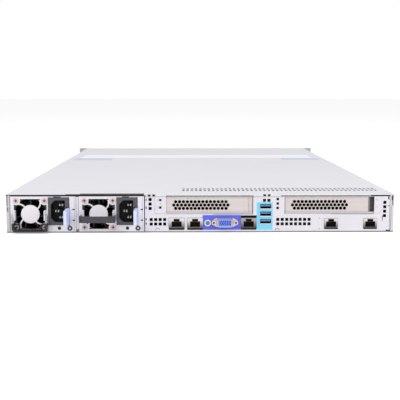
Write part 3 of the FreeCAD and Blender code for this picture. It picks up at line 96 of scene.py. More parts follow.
def new_group(name, inputs, outputs):
    """An empty shader node group with named inputs, each with its first value, and outputs."""
    group = bpy.data.node_groups.new(name, "ShaderNodeTree")
    for label, value in inputs.items():
        socket = group.interface.new_socket(label, in_out="INPUT", socket_type=socket_kind(value))
        socket.default_value = value
    for label in outputs:
        group.interface.new_socket(label, in_out="OUTPUT", socket_type="NodeSocketFloat")
    start = group.nodes.new("NodeGroupInput")
    end = group.nodes.new("NodeGroupOutput")
    return group, start.outputs, end.inputs


def add(tree, kind, **settings):
    node = tree.nodes.new(kind)
    for key, value in settings.items():
        setattr(node, key, value)
    return node


def wire(tree, source, target):
    """Feed a socket from another, or set it where the source is a plain value."""
    if isinstance(source, bpy.types.NodeSocket):
        tree.links.new(source, target)
    else:
        target.default_value = source


def maths(tree, operation, first, second, kind="ShaderNodeMath"):
    node = add(tree, kind, operation=operation)
    wire(tree, first, node.inputs[0])
    wire(tree, second, node.inputs[1])
    return node.outputs[0]


def vectors(tree, operation, first, second):
    return maths(tree, operation, first, second, "ShaderNodeVectorMath")


def remap(tree, value, low, high, new_low=0.0, new_high=1.0):
    node = add(tree, "ShaderNodeMapRange", clamp=True)
    terms = {"Value": value, "From Min": low, "From Max": high, "To Min": new_low, "To Max": new_high}
    for label, term in terms.items():
        wire(tree, term, node.inputs[label])
    return node.outputs["Result"]


def mix(tree, factor, first, second):
    """A colour between two; each is a socket or a triple."""
    node = add(tree, "ShaderNodeMix", data_type="RGBA")
    wire(tree, factor, node.inputs["Factor"])
    for index, colour in ((6, first), (7, second)):
        wire(tree, (*colour, 1.0) if isinstance(colour, tuple) else colour, node.inputs[index])
    return node.outputs[2]


def object_place(tree):
    return add(tree, "ShaderNodeTexCoord").outputs["Object"]


def noise(tree, place, scale, detail=2.0, rough=0.5):
    node = add(tree, "ShaderNodeTexNoise")
    node.inputs["Detail"].default_value = detail
    node.inputs["Roughness"].default_value = rough
    wire(tree, place, node.inputs["Vector"])
    wire(tree, scale, node.inputs["Scale"])
    return node.outputs["Fac"]


def smallest_part(tree, vector):
    split = add(tree, "ShaderNodeSeparateXYZ")
    wire(tree, vector, split.inputs[0])
    least = maths(tree, "MINIMUM", split.outputs[0], split.outputs[1])
    return maths(tree, "MINIMUM", least, split.outputs[2])


# ---- shared effects ----

# how a sheet's grain is drawn out: in lines or softer lines along X or Y, or not at all
LINES_X, SOFT_X = (0.02, 1.0, 1.0), (0.03, 1.0, 1.0)
LINES_Y, SOFT_Y = (1.0, 0.02, 1.0), (1.0, 0.03, 1.0)
EVEN = (1.0, 1.0, 1.0)
ORIGIN = (0.0, 0.0, 0.0)


def make_grain():
    """Fine lines in one direction, as rolled or brushed sheet has."""
    group, given, result = new_group("sheet_grain", {"Scale": 900.0, "Stretch": LINES_X}, ["Mask", "Height"])
    turn = add(group, "ShaderNodeMapping")
    wire(group, object_place(group), turn.inputs["Vector"])
    wire(group, given["Stretch"], turn.inputs["Scale"])
    lines = noise(group, turn.outputs["Vector"], given["Scale"], 3.0)
    wire(group, remap(group, lines, 0.3, 0.7), result["Mask"])
    wire(group, lines, result["Height"])
    return group


def make_spangle():
    """The soft crystal patches of a zinc coat."""
    group, given, result = new_group("zinc_spangle", {"Scale": 160.0, "Spread": 0.35}, ["Mask"])
    place = object_place(group)
    warp = add(group, "ShaderNodeTexNoise")
    warp.inputs["Scale"].default_value = 90.0
    wire(group, place, warp.inputs["Vector"])
    shift = vectors(group, "MULTIPLY", warp.outputs["Color"], (0.004, 0.004, 0.004))
    cells = add(group, "ShaderNodeTexVoronoi")
    wire(group, vectors(group, "ADD", place, shift), cells.inputs["Vector"])
    wire(group, given["Scale"], cells.inputs["Scale"])
    split = add(group, "ShaderNodeSeparateColor")
    wire(group, cells.outputs["Color"], split.inputs["Color"])
    centred = maths(group, "SUBTRACT", split.outputs[0], 0.5)
    wire(group, maths(group, "ADD", maths(group, "MULTIPLY", centred, given["Spread"]), 0.5), result["Mask"])
    return group


def make_handling():
    """Broad faint marks of handling and dust, with a few fine scratches."""
    group, given, result = new_group("handling_marks", {"Scale": 14.0, "Amount": 0.4}, ["Mask"])
    place = object_place(group)
    patches = remap(group, noise(group, place, given["Scale"], 5.0, 0.6), 0.42, 0.68)
    turn = add(group, "ShaderNodeMapping")
    turn.inputs["Rotation"].default_value = (0.0, 0.0, 0.6)
    turn.inputs["Scale"].default_value = SOFT_Y
    wire(group, place, turn.inputs["Vector"])
    lines = remap(group, noise(group, turn.outputs["Vector"], 700.0), 0.66, 0.72)
    both = maths(group, "MAXIMUM", patches, maths(group, "MULTIPLY", lines, 0.6))
    wire(group, maths(group, "MULTIPLY", both, given["Amount"]), result["Mask"])
    return group


def make_mould():
    """The spark-eroded texture of moulded plastic and baked paint."""
    group, given, result = new_group("moulded_texture", {"Scale": 2200.0}, ["Mask", "Height"])
    fine = noise(group, object_place(group), given["Scale"])
    wire(group, remap(group, fine, 0.35, 0.65), result["Mask"])
    wire(group, fine, result["Height"])
    return group


def make_inside():
    """1 within a box of the part's own space, and 0 outside it."""
    group, given, result = new_group("inside_box", {"Low": ORIGIN, "High": ORIGIN}, ["Mask"])
    place = object_place(group)
    above = smallest_part(group, vectors(group, "SUBTRACT", place, given["Low"]))
    below = smallest_part(group, vectors(group, "SUBTRACT", given["High"], place))
    wire(group, maths(group, "GREATER_THAN", maths(group, "MINIMUM", above, below), 0.0), result["Mask"])
    return group


GRAIN = make_grain()
SPANGLE = make_spangle()
HANDLING = make_handling()
MOULD = make_mould()
INSIDE = make_inside()


def effect(tree, group, **values):
    node = tree.nodes.new("ShaderNodeGroup")
    node.node_tree = group
    for name, value in values.items():
        node.inputs[name].default_value = value
    return node.outputs


# ---- materials ----

FAR = 1.0
WIDE = (-FAR, FAR)
EDGE = 0.2 * MM
# PITCH and NEAR_BLACK are the colours of painted shade
PITCH = (0.045, 0.040, 0.045)
NEAR_BLACK = (0.09, 0.08, 0.09)
HANDLE_PAINT = (0.25, 0.245, 0.28), (0.21, 0.205, 0.24)
MATT = (0.45, 0.6)
EYE_GREY = (0.70, 0.69, 0.70)


def zone(colour, x=WIDE, y=WIDE, z=WIDE):
    """A box of the part's space, open on the sides that aren't given, and the colour of what is in it."""
    return (x[0], y[0], z[0]), (x[1], y[1], z[1]), colour


def new_material(name, metallic, coat=0.0):
    """A material with its plain sockets set; returns it with its tree and its shader."""
    material = bpy.data.materials.new(name)
    material.use_nodes = True
    tree = material.node_tree
    shader = tree.nodes["Principled BSDF"]
    shader.inputs["Metallic"].default_value = metallic
    shader.inputs["Coat Weight"].default_value = coat
    return material, tree, shader


def shade_zones(tree, colour, zones):
    """Give parts of a surface other colours: their own, painted shade and painted light; a later zone covers
    an earlier one.
    """
    for low, high, own in zones:
        inside = effect(tree, INSIDE, Low=low, High=high)["Mask"]
        colour = mix(tree, inside, colour, seen(own))
    return colour


def finish(tree, shader, colour, rough, height, strength, distance):
    """Wire a shader's colour, its roughness and its bump."""
    wire(tree, colour, shader.inputs["Base Color"])
    wire(tree, rough, shader.inputs["Roughness"])
    bump = add(tree, "ShaderNodeBump")
    bump.inputs["Strength"].default_value = strength
    bump.inputs["Distance"].default_value = distance
    wire(tree, height, bump.inputs["Height"])
    wire(tree, bump.outputs["Normal"], shader.inputs["Normal"])


def sheet_metal(name, light, dark, metallic=0.3, rough=(0.4, 0.55), stretch=LINES_X, spangle=0.3,
                wear=0.2, scale=900.0, zones=()):
    """Zinc-coated or brushed sheet: grain for the lines, spangle for the patches, wear for handling."""
    material, tree, shader = new_material(name, metallic)
    light, dark = seen(light), seen(dark)
    grain = effect(tree, GRAIN, Scale=scale, Stretch=stretch)
    patches = effect(tree, SPANGLE, Scale=170.0, Spread=spangle)
    handled = effect(tree, HANDLING, Amount=wear)
    mixed = maths(tree, "MULTIPLY", maths(tree, "ADD", grain["Mask"], patches["Mask"]), 0.5)
    worn = mix(tree, handled["Mask"], mix(tree, mixed, dark, light), darker(dark, 0.9))
    rough = remap(tree, maths(tree, "ADD", mixed, handled["Mask"]), 0.0, 1.3, *rough)
    finish(tree, shader, shade_zones(tree, worn, zones), rough, grain["Height"], 0.12, 0.00004)
    return material


def moulded(name, light, dark, rough=(0.42, 0.6), scale=2200.0, bump=0.25, coat=0.0, zones=()):
    """Moulded plastic or baked paint with a fine even texture."""
    material, tree, shader = new_material(name, 0.0, coat)
    texture = effect(tree, MOULD, Scale=scale)
    handled = effect(tree, HANDLING, Scale=30.0, Amount=0.5)
    mixed = maths(tree, "MULTIPLY", maths(tree, "ADD", texture["Mask"], handled["Mask"]), 0.6)
    colour = mix(tree, mixed, seen(dark), seen(light))
    rough = remap(tree, mixed, 0.0, 1.0, rough[1], rough[0])
    finish(tree, shader, shade_zones(tree, colour, zones), rough, texture["Height"], bump, 0.00006)
    return material


def bright_metal(name, light, dark, rough=(0.22, 0.36), metallic=0.9, zones=()):
    """Plated or turned metal with a fine sheen."""
    material, tree, shader = new_material(name, metallic)
    grain = effect(tree, GRAIN, Scale=2500.0, Stretch=(1.0, 1.0, 0.06))
    colour = mix(tree, grain["Mask"], seen(dark), seen(light))
    rough = remap(tree, grain["Mask"], 0.0, 1.0, *rough)
    finish(tree, shader, shade_zones(tree, colour, zones), rough, grain["Height"], 0.1, 0.00002)
    return material


def circuit_board():
    """Green solder mask with faint tracks, dark just behind the rear wall where no light comes in."""
    material, tree, shader = new_material("solder_mask_green", 0.0, 0.3)
    tracks = add(tree, "ShaderNodeTexBrick")
    tracks.inputs["Scale"].default_value = 120.0
    tracks.inputs["Mortar Size"].default_value = 0.03
    tracks.inputs["Color1"].default_value = (0.02, 0.16, 0.07, 1.0)
    tracks.inputs["Color2"].default_value = (0.03, 0.20, 0.09, 1.0)
    tracks.inputs["Mortar"].default_value = (0.06, 0.30, 0.13, 1.0)
    wire(tree, object_place(tree), tracks.inputs["Vector"])
    colour = shade_zones(tree, tracks.outputs["Color"], [BEHIND_WALL])
    texture = effect(tree, MOULD, Scale=900.0)
    rough = remap(tree, texture["Mask"], 0.0, 1.0, 0.45, 0.6)
    finish(tree, shader, colour, rough, texture["Height"], 0.1, 0.00003)
    return material


def socket_body(name, top, foot, deep, plane, spread, metallic=0.4):
    """A socket's body: its face is painted light at the top, fading over a height to painted shade at the
    foot, and behind a plane it is painted dark as shade.
    """
    material, tree, shader = new_material(name, 0.0)
    texture = effect(tree, MOULD, Scale=1800.0)
    split = add(tree, "ShaderNodeSeparateXYZ")
    wire(tree, object_place(tree), split.inputs[0])
    rise = remap(tree, split.outputs["Z"], *spread)
    face = mix(tree, rise, seen(foot), seen(top))
    grained = mix(tree, maths(tree, "MULTIPLY", texture["Mask"], 0.15), face, darker(seen(foot), 0.6))
    low, high, own = zone(deep, y=(plane, FAR))
    inside = effect(tree, INSIDE, Low=low, High=high)["Mask"]
    wire(tree, remap(tree, inside, 0.0, 1.0, metallic, 0.0), shader.inputs["Metallic"])
    rough = remap(tree, inside, 0.0, 1.0, 0.4, 0.7)
    finish(tree, shader, mix(tree, inside, grained, seen(own)), rough, texture["Height"], 0.1, 0.00003)
    return material


# where no light comes in: the closed chassis, its first stretch over the board, and behind the sheets
HOLLOW = zone(PITCH, (PAN_LOW.x + 0.5 * SHEET, PAN_HIGH.x - 0.5 * SHEET),
              (WALL_FACE + EDGE, FRONT_END - 4 * MM), (0.6 * SHEET, COVER_HIGH.z - 0.95 * SHEET))
BOARD_SHADE = 330 * MM
BEHIND_WALL = zone(PITCH, y=(WALL_FACE + EDGE, WALL_FACE + BOARD_SHADE))
BEHIND_SHEET = zone(PITCH, y=(WALL_FACE + EDGE, FAR))
BEHIND_BAY = zone(PITCH, y=(WALL_BACK + 1.5 * MM, FAR))
BEHIND_SLOTS = zone(PITCH, y=(WALL_BACK + SHEET, FAR))

# the shaded fold along the foot of the rear face
WALL_FOOT = zone((0.52, 0.515, 0.53), y=(-FAR, WALL_FACE + EDGE), z=(-FAR, 1.4 * MM))
PAN_FOOT = zone((0.50, 0.495, 0.51), y=(-FAR, WALL_FACE + EDGE), z=(-FAR, 1.3 * MM))

# over the supplies the cover has no lip, and its rear edge is in shadow
OPEN_EDGE = [zone(PITCH, (-FAR, BAY_END), (-FAR, COVER_LOW.y + EDGE),
                  (ROOF_FOOT, COVER_HIGH.z - 0.2 * SHEET))]
OPEN_EDGE += [zone(colour, (start * MM, BAY_END), (-FAR, COVER_LOW.y + depth * MM), (ROOF_FOOT, FAR))
              for start, depth, colour in ((-152, 3.5, NEAR_BLACK), (-136, 9.0, PITCH))]

# the two ends of the access panel's band are lighter and bluer
BAND_HALF = 148 * MM
PANEL_ENDS = [zone((0.975, 0.98, 1.0), span) for span in ((-FAR, -BAND_HALF), (BAND_HALF, FAR))]

COVER = sheet_metal("cover_steel", (0.905, 0.902, 0.925), (0.885, 0.882, 0.908), 0.15, (0.5, 0.62),
                    LINES_Y, 0.1, 0.12, zones=[HOLLOW, *OPEN_EDGE])
PANEL = sheet_metal("access_panel_steel", (1.0, 0.985, 1.0), (0.985, 0.97, 0.99), 0.1, (0.45, 0.55),
                    LINES_X, 0.1, 0.1, zones=[HOLLOW, *PANEL_ENDS])
WALL = sheet_metal("rear_wall_steel", (0.915, 0.90, 0.93), (0.875, 0.86, 0.885), 0.2, MATT,
                   SOFT_X, 0.3, 0.2, zones=[BEHIND_SHEET, WALL_FOOT])
PAN = sheet_metal("pan_steel", (0.85, 0.845, 0.87), (0.79, 0.785, 0.81), 0.35, stretch=SOFT_Y,
                  spangle=0.5, zones=[HOLLOW, PAN_FOOT])
BAY = sheet_metal("bay_steel", (0.86, 0.85, 0.88), (0.80, 0.79, 0.82), stretch=SOFT_Y, spangle=0.4,
                  zones=[BEHIND_BAY])
GUARD = sheet_metal("guard_steel", (0.945, 0.93, 0.95), (0.91, 0.895, 0.915), 0.15, MATT, EVEN, 0.2,
                    0.15, 1500.0)
CASE = sheet_metal("supply_case_steel", (0.84, 0.835, 0.855), (0.76, 0.755, 0.78), 0.6, (0.35, 0.5),
                   SOFT_Y, 0.5)
SLOT_STEEL = sheet_metal("slot_cover_steel", (0.87, 0.83, 0.825), (0.82, 0.78, 0.775), 0.25,
                         spangle=0.2, zones=[BEHIND_SLOTS])
# the rack ears are painted darker grey as the shade on their rear faces
EAR = sheet_metal("ear_shade_grey", (0.745, 0.745, 0.77), (0.70, 0.70, 0.725), 0.1, (0.5, 0.65), EVEN, 0.1,
                  0.3, 1500.0)
COOLER = sheet_metal("cooler_aluminium", (0.86, 0.86, 0.87), (0.80, 0.80, 0.81), 0.9, (0.3, 0.42),
                     SOFT_Y, 0.1)
DRIVE = sheet_metal("drive_aluminium", (0.80, 0.80, 0.81), (0.72, 0.72, 0.74), 0.9, (0.35, 0.5), SOFT_X, 0.2)
# the slot sills are painted darker than the wall as shade
SILL_SHADE_GREY = sheet_metal("sill_steel_shaded", (0.78, 0.775, 0.785), (0.72, 0.715, 0.725), spangle=0.2)

BLACK = moulded("fan_plastic_black", (0.13, 0.125, 0.135), (0.08, 0.075, 0.085), MATT)
# near-black, painted as the shadow in gaps, slits, holes and notches
SEAM = moulded("seam_shadow", NEAR_BLACK, PITCH, (0.7, 0.8))
DARK = moulded("dark_moulding", (0.25, 0.245, 0.27), (0.20, 0.195, 0.22))
# the next two are grey lines painted as shade along folds, ridges and seams
GROOVE_SHADE = moulded("groove_shade_grey", (0.56, 0.55, 0.57), (0.48, 0.47, 0.49), (0.6, 0.7))
FAINT_SHADE = moulded("faint_seam_shade", (0.80, 0.79, 0.81), (0.74, 0.73, 0.75), (0.6, 0.7))
INK = moulded("dark_ring", (0.28, 0.27, 0.29), (0.20, 0.19, 0.21), (0.5, 0.6))
# a dark brown-grey piece painted as the shade deep in a slot's recess
RECESS_SHADE = moulded("recess_shade_brown_grey", (0.42, 0.395, 0.40), (0.28, 0.26, 0.265), (0.6, 0.75), 500.0)
CARRIER = moulded("carrier_plastic", (0.34, 0.34, 0.37), (0.27, 0.27, 0.30))
GRIP_BLUE = moulded("grip_blue", (0.83, 0.86, 0.96), (0.76, 0.80, 0.93), MATT, 1500.0, 0.2)
FIELD_BLUE = moulded("port_field_blue", (0.40, 0.43, 0.93), (0.35, 0.38, 0.88), MATT, 1200.0, 0.1)
FIELD_CYAN = moulded("port_field_cyan", (0.53, 0.89, 1.0), (0.48, 0.84, 0.98), MATT, 1200.0, 0.1)
INSERT_BLUE = moulded("video_insert_blue", (0.42, 0.55, 0.96), (0.38, 0.50, 0.93))
RIM_BLUE = moulded("video_rim_plate", (0.72, 0.76, 0.93), (0.64, 0.69, 0.88))
PIN_BLUE = moulded("video_insert_holes", (0.17, 0.20, 0.50), (0.12, 0.15, 0.44))
TONGUE_BLUE = moulded("usb_tongue_blue", (0.52, 0.78, 1.0), (0.44, 0.70, 0.97))
TEAL = moulded("button_teal", (0.30, 0.60, 0.64), (0.22, 0.50, 0.55), (0.25, 0.4), 1500.0, 0.1, 0.3)
WHITE = moulded("ring_white", (0.96, 0.96, 0.98), (0.90, 0.90, 0.93), (0.3, 0.45), 1500.0, 0.1)
# the fan screws are painted dark as shade deep in their cross recesses
PINK_GREY = bright_metal("screw_plate", (0.90, 0.82, 0.82), (0.80, 0.70, 0.70), (0.4, 0.55), 0.3,
                         [zone((0.40, 0.31, 0.31), y=(CASE_REAR - 1.05 * MM, FAR))])
RIM_STEEL = bright_metal("screw_rim", (0.93, 0.90, 0.91), (0.85, 0.81, 0.82), (0.4, 0.55), 0.2)
NICKEL = bright_metal("nickel_plate", (0.90, 0.895, 0.90), (0.80, 0.795, 0.80))
GOLD = bright_metal("gold_contacts", (0.62, 0.52, 0.36), (0.50, 0.41, 0.28))
BOARD = circuit_board()

# the sockets' faces are painted lighter at the top and shaded towards the foot, and dark as shade behind
# their faces
JACK_FADE = JACK_FACE + EDGE, (JACK_LOW.z + 1.5 * MM, JACK_HIGH.z - 2.5 * MM)
INLET_FADE = INLET_REAR + 0.4 * MM, (10 * MM, 40 * MM)
JACK = socket_body("jack_shield", (0.88, 0.865, 0.87), (0.42, 0.395, 0.40), (0.22, 0.185, 0.185),
                   *JACK_FADE)
SERIAL = socket_body("serial_jack_body", (0.66, 0.64, 0.65), (0.30, 0.28, 0.285), (0.16, 0.14, 0.14),
                     *JACK_FADE, 0.2)
USB_SHELL = socket_body("usb_shell_plate", (0.84, 0.82, 0.85), (0.80, 0.78, 0.80), NEAR_BLACK, *JACK_FADE)
INLET = socket_body("inlet_moulding", (0.315, 0.31, 0.34), (0.29, 0.285, 0.315), (0.15, 0.145, 0.155),
                    *INLET_FADE, 0.0)

# the video socket's shell is bluer than its flange, and its top over the insert is painted darker as shade
VIDEO_X, VIDEO_Z = middle(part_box("vga_shell"))
SHELL_HALF, SHELL_SHADE = 8.8 * MM, VIDEO_Z + 3 * MM
SHELL_PLACE = (VIDEO_X - SHELL_HALF, VIDEO_X + SHELL_HALF), (-FAR, WALL_FACE - 0.9 * MM)
BRASS = bright_metal("yellow_chromate", (0.92, 0.86, 0.79), (0.84, 0.77, 0.70), (0.35, 0.5), 0.4,
                     [zone((0.78, 0.78, 0.86), *SHELL_PLACE, (-FAR, SHELL_SHADE)),
                      zone((0.60, 0.64, 0.78), *SHELL_PLACE, (SHELL_SHADE, FAR))])
# the latch's rear end face is painted lighter, as the light falling on it
LATCH_BLUE = moulded("latch_blue", (0.82, 0.86, 1.0), (0.79, 0.83, 1.0), MATT, 1500.0, 0.15,
                     zones=[zone((0.87, 0.91, 1.0), y=(-FAR, LATCH_REAR + 0.5 * MM))])

# the folded bail is painted darker than the raised one, as shade
# a bail's arms end in lighter eyes round its pivots
BAIL_FOLDED_SHADED = moulded("handle_paint_folded_shaded", (0.17, 0.165, 0.19), (0.13, 0.125, 0.15), MATT,
                      zones=[zone(EYE_GREY, z=(FOLDED_FOOT + 10.5 * MM, FAR))])
BAIL_RAISED = moulded("handle_paint_raised", *HANDLE_PAINT, MATT,
                      zones=[zone(EYE_GREY, y=(RAISED_END - 9.5 * MM, FAR))])
LEVER = moulded("lever_paint", *HANDLE_PAINT, MATT)

# each flat blade of an inlet is painted dark as shade across its middle, so that only its edges show as
# bright glints
BLADE_WIDTH, CORE_START, CORE_END = 4 * MM, 0.9 * MM, 2.9 * MM
PIN_CORES = []
for number in (1, 2):
    pins_low, pins_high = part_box(f"psu_{number}_inlet_pins")
    for left in (pins_low.x, pins_high.x - BLADE_WIDTH):
        PIN_CORES.append(zone((0.20, 0.19, 0.20), (left + CORE_START, left + CORE_END)))
PIN_STEEL = bright_metal("inlet_blades", (0.86, 0.84, 0.86), (0.70, 0.68, 0.70), (0.3, 0.45), 0.4, PIN_CORES)
LAMP_GREEN = moulded("lamp_green", (0.45, 0.82, 0.50), (0.35, 0.72, 0.42), (0.2, 0.3), 1500.0, 0.1, 0.4)

FINISHES = {name: paint for paint, names in (
    (COVER, "rear_cover front_cover"), (PANEL, "access_panel"), (GRIP_BLUE, "cover_grips"),
    (PAN, "chassis_pan drive_cage"), (WALL, "rear_panel front_frame riser_brackets"), (BAY, "psu_bay_walls"),
    (SLOT_STEEL, "slot_covers"), (EAR, "rack_ear_left rack_ear_right"), (COOLER, "heatsinks"),
    (BOARD, "motherboard riser_cards drive_backplane memory_modules"), (TEAL, "id_button power_button"),
    (BLACK, "fan_frames fan_rotor psu_fan_frame psu_fan_rotor"), (JACK, "lan_jacks"), (SERIAL, "serial_jack"),
    (BRASS, "vga_shell"), (INSERT_BLUE, "vga_insert"), (USB_SHELL, "usb_shells"), (CARRIER, "drive_carrier"),
    (TONGUE_BLUE, "usb_tongues"), (LEVER, "carrier_lever"), (DRIVE, "hard_drive"), (CASE, "psu_case"),
    (GUARD, "psu_guard"), (INLET, "psu_inlet"), (PIN_STEEL, "psu_inlet_pins"), (LATCH_BLUE, "psu_latch"),
    (BAIL_FOLDED_SHADED, "psu_1_handle"), (BAIL_RAISED, "psu_2_handle"),
) for name in names.split()}


def dress_nodes():
    """Give each node its own finish, or that of its kind, whose name has no number."""
    for name, item in NODES.items():
        kind = "_".join(part for part in name.split("_") if not part.isdigit())
        item.data.materials.clear()
        item.data.materials.append(FINISHES.get(name) or FINISHES[kind])


# ---- mesh helpers ----

STEEL = "galvanised_steel"


def new_object(name, data):
    item = bpy.data.objects.new(name, data)
    bpy.context.scene.collection.objects.link(item)
    return item


def link(name, mesh, material, body="root"):
    """Make an object of a mesh, dress it and let it ride on its body."""
    piece = new_object(name, mesh)
    if material:
        mesh.materials.append(material)
    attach(piece, body)


def to_mesh(shape, name):
    bmesh.ops.recalc_face_normals(shape, faces=shape.faces[:])
    mesh = bpy.data.meshes.new(name)
    shape.to_mesh(mesh)
    shape.free()
    return mesh


def plate(name, outline, holes, front, back, material):
    """A plate across Y with square-cut holes: spans are ((low x, high x), (low z, high z))."""
    (left, right), (bottom, top) = outline
    xs, zs = {left, right}, {bottom, top}
    for hole_x, hole_z in holes:
        xs |= set(hole_x)
        zs |= set(hole_z)
    xs = sorted(x for x in xs if left <= x <= right)
    zs = sorted(z for z in zs if bottom <= z <= top)
    shape = bmesh.new()
    corners = {}
    for x_low, x_high in zip(xs, xs[1:]):
        for z_low, z_high in zip(zs, zs[1:]):
            place_x, place_z = (x_low + x_high) / 2, (z_low + z_high) / 2
            if any(hx[0] < place_x < hx[1] and hz[0] < place_z < hz[1] for hx, hz in holes):
                continue
            cell = []
            for corner in ((x_low, z_low), (x_high, z_low), (x_high, z_high), (x_low, z_high)):
                if corner not in corners:
                    corners[corner] = shape.verts.new((corner[0], front, corner[1]))
                cell.append(corners[corner])
            shape.faces.new(cell)
    grown = bmesh.ops.extrude_face_region(shape, geom=shape.faces[:])
    moved = [item for item in grown["geom"] if isinstance(item, bmesh.types.BMVert)]
    bmesh.ops.translate(shape, verts=moved, vec=(0.0, back - front, 0.0))
    link(name, to_mesh(shape, name), material, "root")


def strips_mesh(name, strips, front, back):
    """Separate thin bars across Y, each ((low x, high x), (low z, high z)), as one mesh."""
    shape = bmesh.new()
    for (left, right), (bottom, top) in strips:
        corners = [shape.verts.new((x, y, z)) for y in (front, back)
                   for x, z in ((left, bottom), (right, bottom), (right, top), (left, top))]
        for face in ((0, 1, 2, 3), (7, 6, 5, 4), (0, 4, 5, 1), (1, 5, 6, 2), (2, 6, 7, 3), (3, 7, 4, 0)):
            shape.faces.new([corners[index] for index in face])
    return to_mesh(shape, name)


def turned(name, profile, steps, centres, material, body="root"):
    """Pieces turned round Y, one on each centre, of (radius, depth) pairs in millimetres.
    A profile from zero radius to zero radius is a solid, and any other is a closed ring."""
    shape = bmesh.new()
    solid = profile[0][0] == 0.0
    for x, y, z in centres:
        rings = []
        for radius, depth in profile:
            ring = []
            for step in range(steps if radius else 1):
                turn, reach = 2 * math.pi * step / steps, radius * MM
                place = (x + reach * math.cos(turn), y + depth * MM, z + reach * math.sin(turn))
                ring.append(shape.verts.new(place))
            rings.append(ring)
        pairs = list(zip(rings, rings[1:])) + ([] if solid else [(rings[-1], rings[0])])
        for first, second in pairs:
            for step in range(steps):
                following = (step + 1) % steps
                corners = [first[step % len(first)], first[following % len(first)],
                           second[following % len(second)], second[step % len(second)]]
                unique = list(dict.fromkeys(corners))
                if len(unique) > 2:
                    shape.faces.new(unique)
    link(name, to_mesh(shape, name), material, body)


def half_rings(name, centres, radius, wire_radius, material, steps=14, sides=8):
    """Half-round embossed ridges with closed ends, bowed upwards on the rear wall."""
    shape = bmesh.new()
    for x, z in centres:
        rings = []
        for step in range(steps + 1):
            turn = math.pi * step / steps
            ring = []
            for side in range(sides):
                lean = 2 * math.pi * side / sides
                reach, lift = radius + wire_radius * math.cos(lean), wire_radius * math.sin(lean)
                place = (x + reach * math.cos(turn), WALL_FACE + lift, z + reach * math.sin(turn))
                ring.append(shape.verts.new(place))
            rings.append(ring)
        for first, second in zip(rings, rings[1:]):
            for side in range(sides):
                following = (side + 1) % sides
                shape.faces.new([first[side], first[following], second[following], second[side]])
        shape.faces.new(rings[0])
        shape.faces.new(rings[-1])
    link(name, to_mesh(shape, name), material)


# ---- geometry nodes ----

def new_geometry_tree(name, inputs):
    """A geometry tree with a Geometry input and output, and the named inputs given."""
    tree = bpy.data.node_groups.new(name, "GeometryNodeTree")
    tree.interface.new_socket("Geometry", in_out="INPUT", socket_type="NodeSocketGeometry")
    identifiers = {}
    for label, value in {**inputs, "Turn": ORIGIN, "Material": None}.items():
        socket = tree.interface.new_socket(label, in_out="INPUT", socket_type=socket_kind(value))
        if value is not None:
            socket.default_value = value
        identifiers[label] = socket.identifier
    tree.interface.new_socket("Geometry", in_out="OUTPUT", socket_type="NodeSocketGeometry")
    start = tree.nodes.new("NodeGroupInput")
    end = tree.nodes.new("NodeGroupOutput")
    return tree, start.outputs, end.inputs, identifiers


def place_on_points(tree, shape, given, result):
    """One copy of the shape on each point, made real and given its material."""
    spread = add(tree, "GeometryNodeInstanceOnPoints")
    wire(tree, given["Geometry"], spread.inputs["Points"])
    wire(tree, shape, spread.inputs["Instance"])
    wire(tree, given["Turn"], spread.inputs["Rotation"])
    real = add(tree, "GeometryNodeRealizeInstances")
    wire(tree, spread.outputs[0], real.inputs[0])
    paint = add(tree, "GeometryNodeSetMaterial")
    wire(tree, real.outputs[0], paint.inputs["Geometry"])
    wire(tree, given["Material"], paint.inputs["Material"])
    wire(tree, paint.outputs[0], result["Geometry"])


HEAD_SIDES, CROSS_LENGTH, CROSS_LIFT = 24, 1.25, 0.55


def screw_tree():
    """Pan-head screws with a cross recess, facing along the local Z."""
    tree, given, result, names = new_geometry_tree("pan_head_screws", {
        "Radius": 0.002, "Height": 0.001, "Recess": 0.0006})
    head = add(tree, "GeometryNodeMeshCylinder")
    head.inputs["Vertices"].default_value = HEAD_SIDES
    wire(tree, given["Radius"], head.inputs["Radius"])
    wire(tree, given["Height"], head.inputs["Depth"])
    long_side = maths(tree, "MULTIPLY", given["Radius"], CROSS_LENGTH)
    up = add(tree, "ShaderNodeCombineXYZ")
    wire(tree, maths(tree, "MULTIPLY", given["Height"], CROSS_LIFT), up.inputs["Z"])
    carve = add(tree, "GeometryNodeMeshBoolean", operation="DIFFERENCE")
    wire(tree, head.outputs["Mesh"], carve.inputs[0])
    for long_axis, short_axis in ("XY", "YX"):
        size = add(tree, "ShaderNodeCombineXYZ")
        wire(tree, long_side, size.inputs[long_axis])
        wire(tree, given["Recess"], size.inputs[short_axis])
        wire(tree, given["Height"], size.inputs["Z"])
        bar = add(tree, "GeometryNodeMeshCube")
        wire(tree, size.outputs[0], bar.inputs["Size"])
        lift = add(tree, "GeometryNodeTransform")
        wire(tree, bar.outputs["Mesh"], lift.inputs["Geometry"])
        wire(tree, up.outputs[0], lift.inputs["Translation"])
        wire(tree, lift.outputs[0], carve.inputs[1])
    place_on_points(tree, carve.outputs["Mesh"], given, result)
    return tree, names


def stud_tree():
    """Short studs, rivets and pins with a chosen number of sides."""
    tree, given, result, names = new_geometry_tree("round_studs", {
        "Sides": 16, "Radius": 0.001, "Top": 0.001, "Height": 0.001})
    head = add(tree, "GeometryNodeMeshCone")
    sockets = {"Sides": "Vertices", "Radius": "Radius Bottom", "Top": "Radius Top", "Height": "Depth"}
    for label, socket in sockets.items():
        wire(tree, given[label], head.inputs[socket])
    place_on_points(tree, head.outputs["Mesh"], given, result)
    return tree, names


def bar_tree():
    """Small straight bars of one size: contacts, ribs and slats."""
    tree, given, result, names = new_geometry_tree("small_bars", {"Size": (0.001, 0.001, 0.001)})
    bar = add(tree, "GeometryNodeMeshCube")
    wire(tree, given["Size"], bar.inputs["Size"])
    place_on_points(tree, bar.outputs["Mesh"], given, result)
    return tree, names


